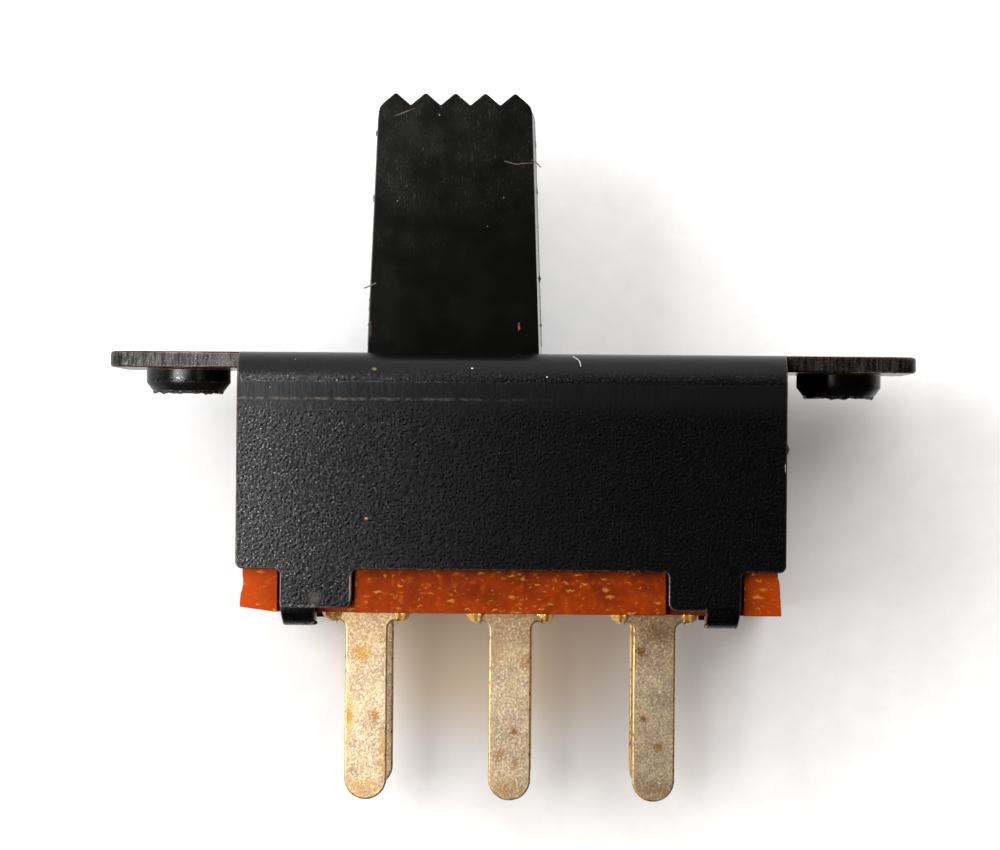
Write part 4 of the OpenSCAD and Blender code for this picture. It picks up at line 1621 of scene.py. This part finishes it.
@dataclass
class Studio:
    """White paper behind the switch, soft lamps at the upper left and a room that is pale above."""

    paper_half: float = mm(400)
    paper_gap: float = mm(0.02)
    pulp: float = mm(1.2)
    pulp_dark: str = "#ecedef"
    pulp_pale: str = "#fbfbfb"
    paper_roughness: float = 0.9
    paper_specular: float = 0.1
    # Painted light: a warm patch on the paper below the base, for light thrown off board and terminals
    painted_bounce: str = "#efe0cb"
    painted_bounce_fade: Pair = (1.0, 0.3)
    painted_bounce_middle: Triple = (mm(-1), 0.0, mm(-13))
    painted_bounce_half: Triple = (mm(9), 1.0, mm(5.5))
    room_pale_side: Triple = (-0.35, 0.75, 0.55)
    room_span: Pair = (-0.45, 0.3)
    room_light: Pair = (0.03, 0.85)
    lamps: tuple[Lamp, ...] = (
        Lamp("key_lamp", (mm(-85), mm(-100), mm(95)), mm(90), mm(90), 0.22, Lit.SWITCH),
        Lamp("strip_lamp", (mm(-19), mm(-62), mm(5)), mm(6), mm(90), 0.019, Lit.SWITCH, LampShape.STRIP),
        Lamp("low_lamp", (mm(-28), mm(-30), mm(-14)), mm(16), mm(16), 0.011, Lit.SWITCH),
        Lamp("paper_left", (mm(-250), mm(-150), mm(60)), mm(300), mm(300), 1.38, Lit.PAPER),
        Lamp("paper_top", (mm(70), mm(-200), mm(200)), mm(300), mm(300), 0.6, Lit.PAPER),
        Lamp("paper_fill", (0.0, mm(-300), 0.0), mm(900), mm(900), 1.35, Lit.PAPER, tint="#fff8f1"),
    )

    def build(self) -> None:
        """Makes paper, lamps and room."""
        paper = self.paper()
        for lamp in self.lamps:
            lamp.build(paper)
        self.room()
        bpy.context.scene.view_settings.view_transform = "Standard"

    def paper(self) -> Object:
        """Makes the sheet that the back wall lies on.

        Returns:
            The sheet, set apart from the switch.
        """
        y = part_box("frame")[1].y + self.paper_gap
        half = self.paper_half
        mesh = bpy.data.meshes.new("paper")
        corners = [(-half, y, -half), (half, y, -half), (half, y, half), (-half, y, half)]
        mesh.from_pydata(corners, [], [(0, 1, 2, 3)])
        mesh.materials.append(self.white_paper())
        paper = show(mesh, "paper")
        return paper

    def white_paper(self) -> Material:
        """Makes the paper's material: matt and white, with a faint mottle of pulp.

        Returns:
            The material. Below the base a warm patch is painted on it, standing in for the light that comes
            off board and terminals. It shows only from the front, so that the back of the switch can be
            seen.
        """
        material = bpy.data.materials.new("white_paper")
        material.use_nodes = True
        tree = material.node_tree
        sheet = tree.nodes["Principled BSDF"]
        where = add_node(tree, "ShaderNodeTexCoord")
        pulp = add_node(tree, "ShaderNodeTexNoise", {
            "Vector": where.outputs["Object"], "Scale": 1 / self.pulp, "Detail": 4.0, "Roughness": 0.65,
        })
        shade = add_node(tree, "ShaderNodeMix", {
            "Factor": pulp, "A": linear(self.pulp_dark), "B": linear(self.pulp_pale),
        }, data_type="RGBA")
        # Painted light: the warm patch below the base
        off = add_node(tree, "ShaderNodeVectorMath", {
            0: where.outputs["Object"], 1: self.painted_bounce_middle,
        }, operation="SUBTRACT")
        scaled = add_node(tree, "ShaderNodeVectorMath", {0: off, 1: self.painted_bounce_half}, operation="DIVIDE")
        far = add_node(tree, "ShaderNodeVectorMath", {0: scaled}, operation="LENGTH")
        near = add_node(tree, "ShaderNodeMapRange", {
            "Value": far.outputs["Value"], "From Min": self.painted_bounce_fade[0], "From Max": self.painted_bounce_fade[1],
        }, interpolation_type="SMOOTHSTEP")
        warmed = add_node(tree, "ShaderNodeMix", {
            "Factor": near, "A": shade, "B": linear(self.painted_bounce),
        }, data_type="RGBA")
        plug(tree, sheet, {
            "Base Color": warmed, "Roughness": self.paper_roughness,
            "Specular IOR Level": self.paper_specular,
        })
        path = add_node(tree, "ShaderNodeLightPath")
        side = add_node(tree, "ShaderNodeNewGeometry")
        front = add_node(tree, "ShaderNodeMath", {
            0: 1.0, 1: side.outputs["Backfacing"],
        }, operation="SUBTRACT")
        seen = add_node(tree, "ShaderNodeMath", {
            0: path.outputs["Is Camera Ray"], 1: front,
        }, operation="MULTIPLY")
        clear = add_node(tree, "ShaderNodeBsdfTransparent")
        mix = add_node(tree, "ShaderNodeMixShader", {0: seen, 1: clear, 2: sheet})
        plug(tree, tree.nodes["Material Output"], {"Surface": mix})
        return material

    def room(self) -> None:
        """Makes a room that is pale behind, above and to the left, dark in front, and white to the eye."""
        world = bpy.data.worlds.new("studio")
        world.use_nodes = True
        bpy.context.scene.world = world
        tree = world.node_tree
        where = add_node(tree, "ShaderNodeTexCoord")
        facing = add_node(tree, "ShaderNodeVectorMath", {
            0: where.outputs["Generated"], 1: self.room_pale_side,
        }, operation="DOT_PRODUCT")
        pale = add_node(tree, "ShaderNodeMapRange", {
            "Value": facing.outputs["Value"], "From Min": self.room_span[0], "From Max": self.room_span[1],
            "To Min": self.room_light[0], "To Max": self.room_light[1],
        }, interpolation_type="SMOOTHSTEP")
        path = add_node(tree, "ShaderNodeLightPath")
        level = add_node(tree, "ShaderNodeMix", {
            "Factor": path.outputs["Is Camera Ray"], "A": pale, "B": 1.0,
        }, data_type="FLOAT")
        plug(tree, tree.nodes["Background"], {"Strength": level, "Color": (1.0, 1.0, 1.0, 1.0)})


def main() -> None:
    """Builds the sub-assemblies, the studio and the camera in order."""
    logging.basicConfig(level=logging.INFO, format="%(name)s: %(message)s")
    Camera().build()
    Housing().build()
    Slider().build()
    Terminals().build()
    Contacts().build()
    Studio().build()


if __name__ == "__main__":
    main()
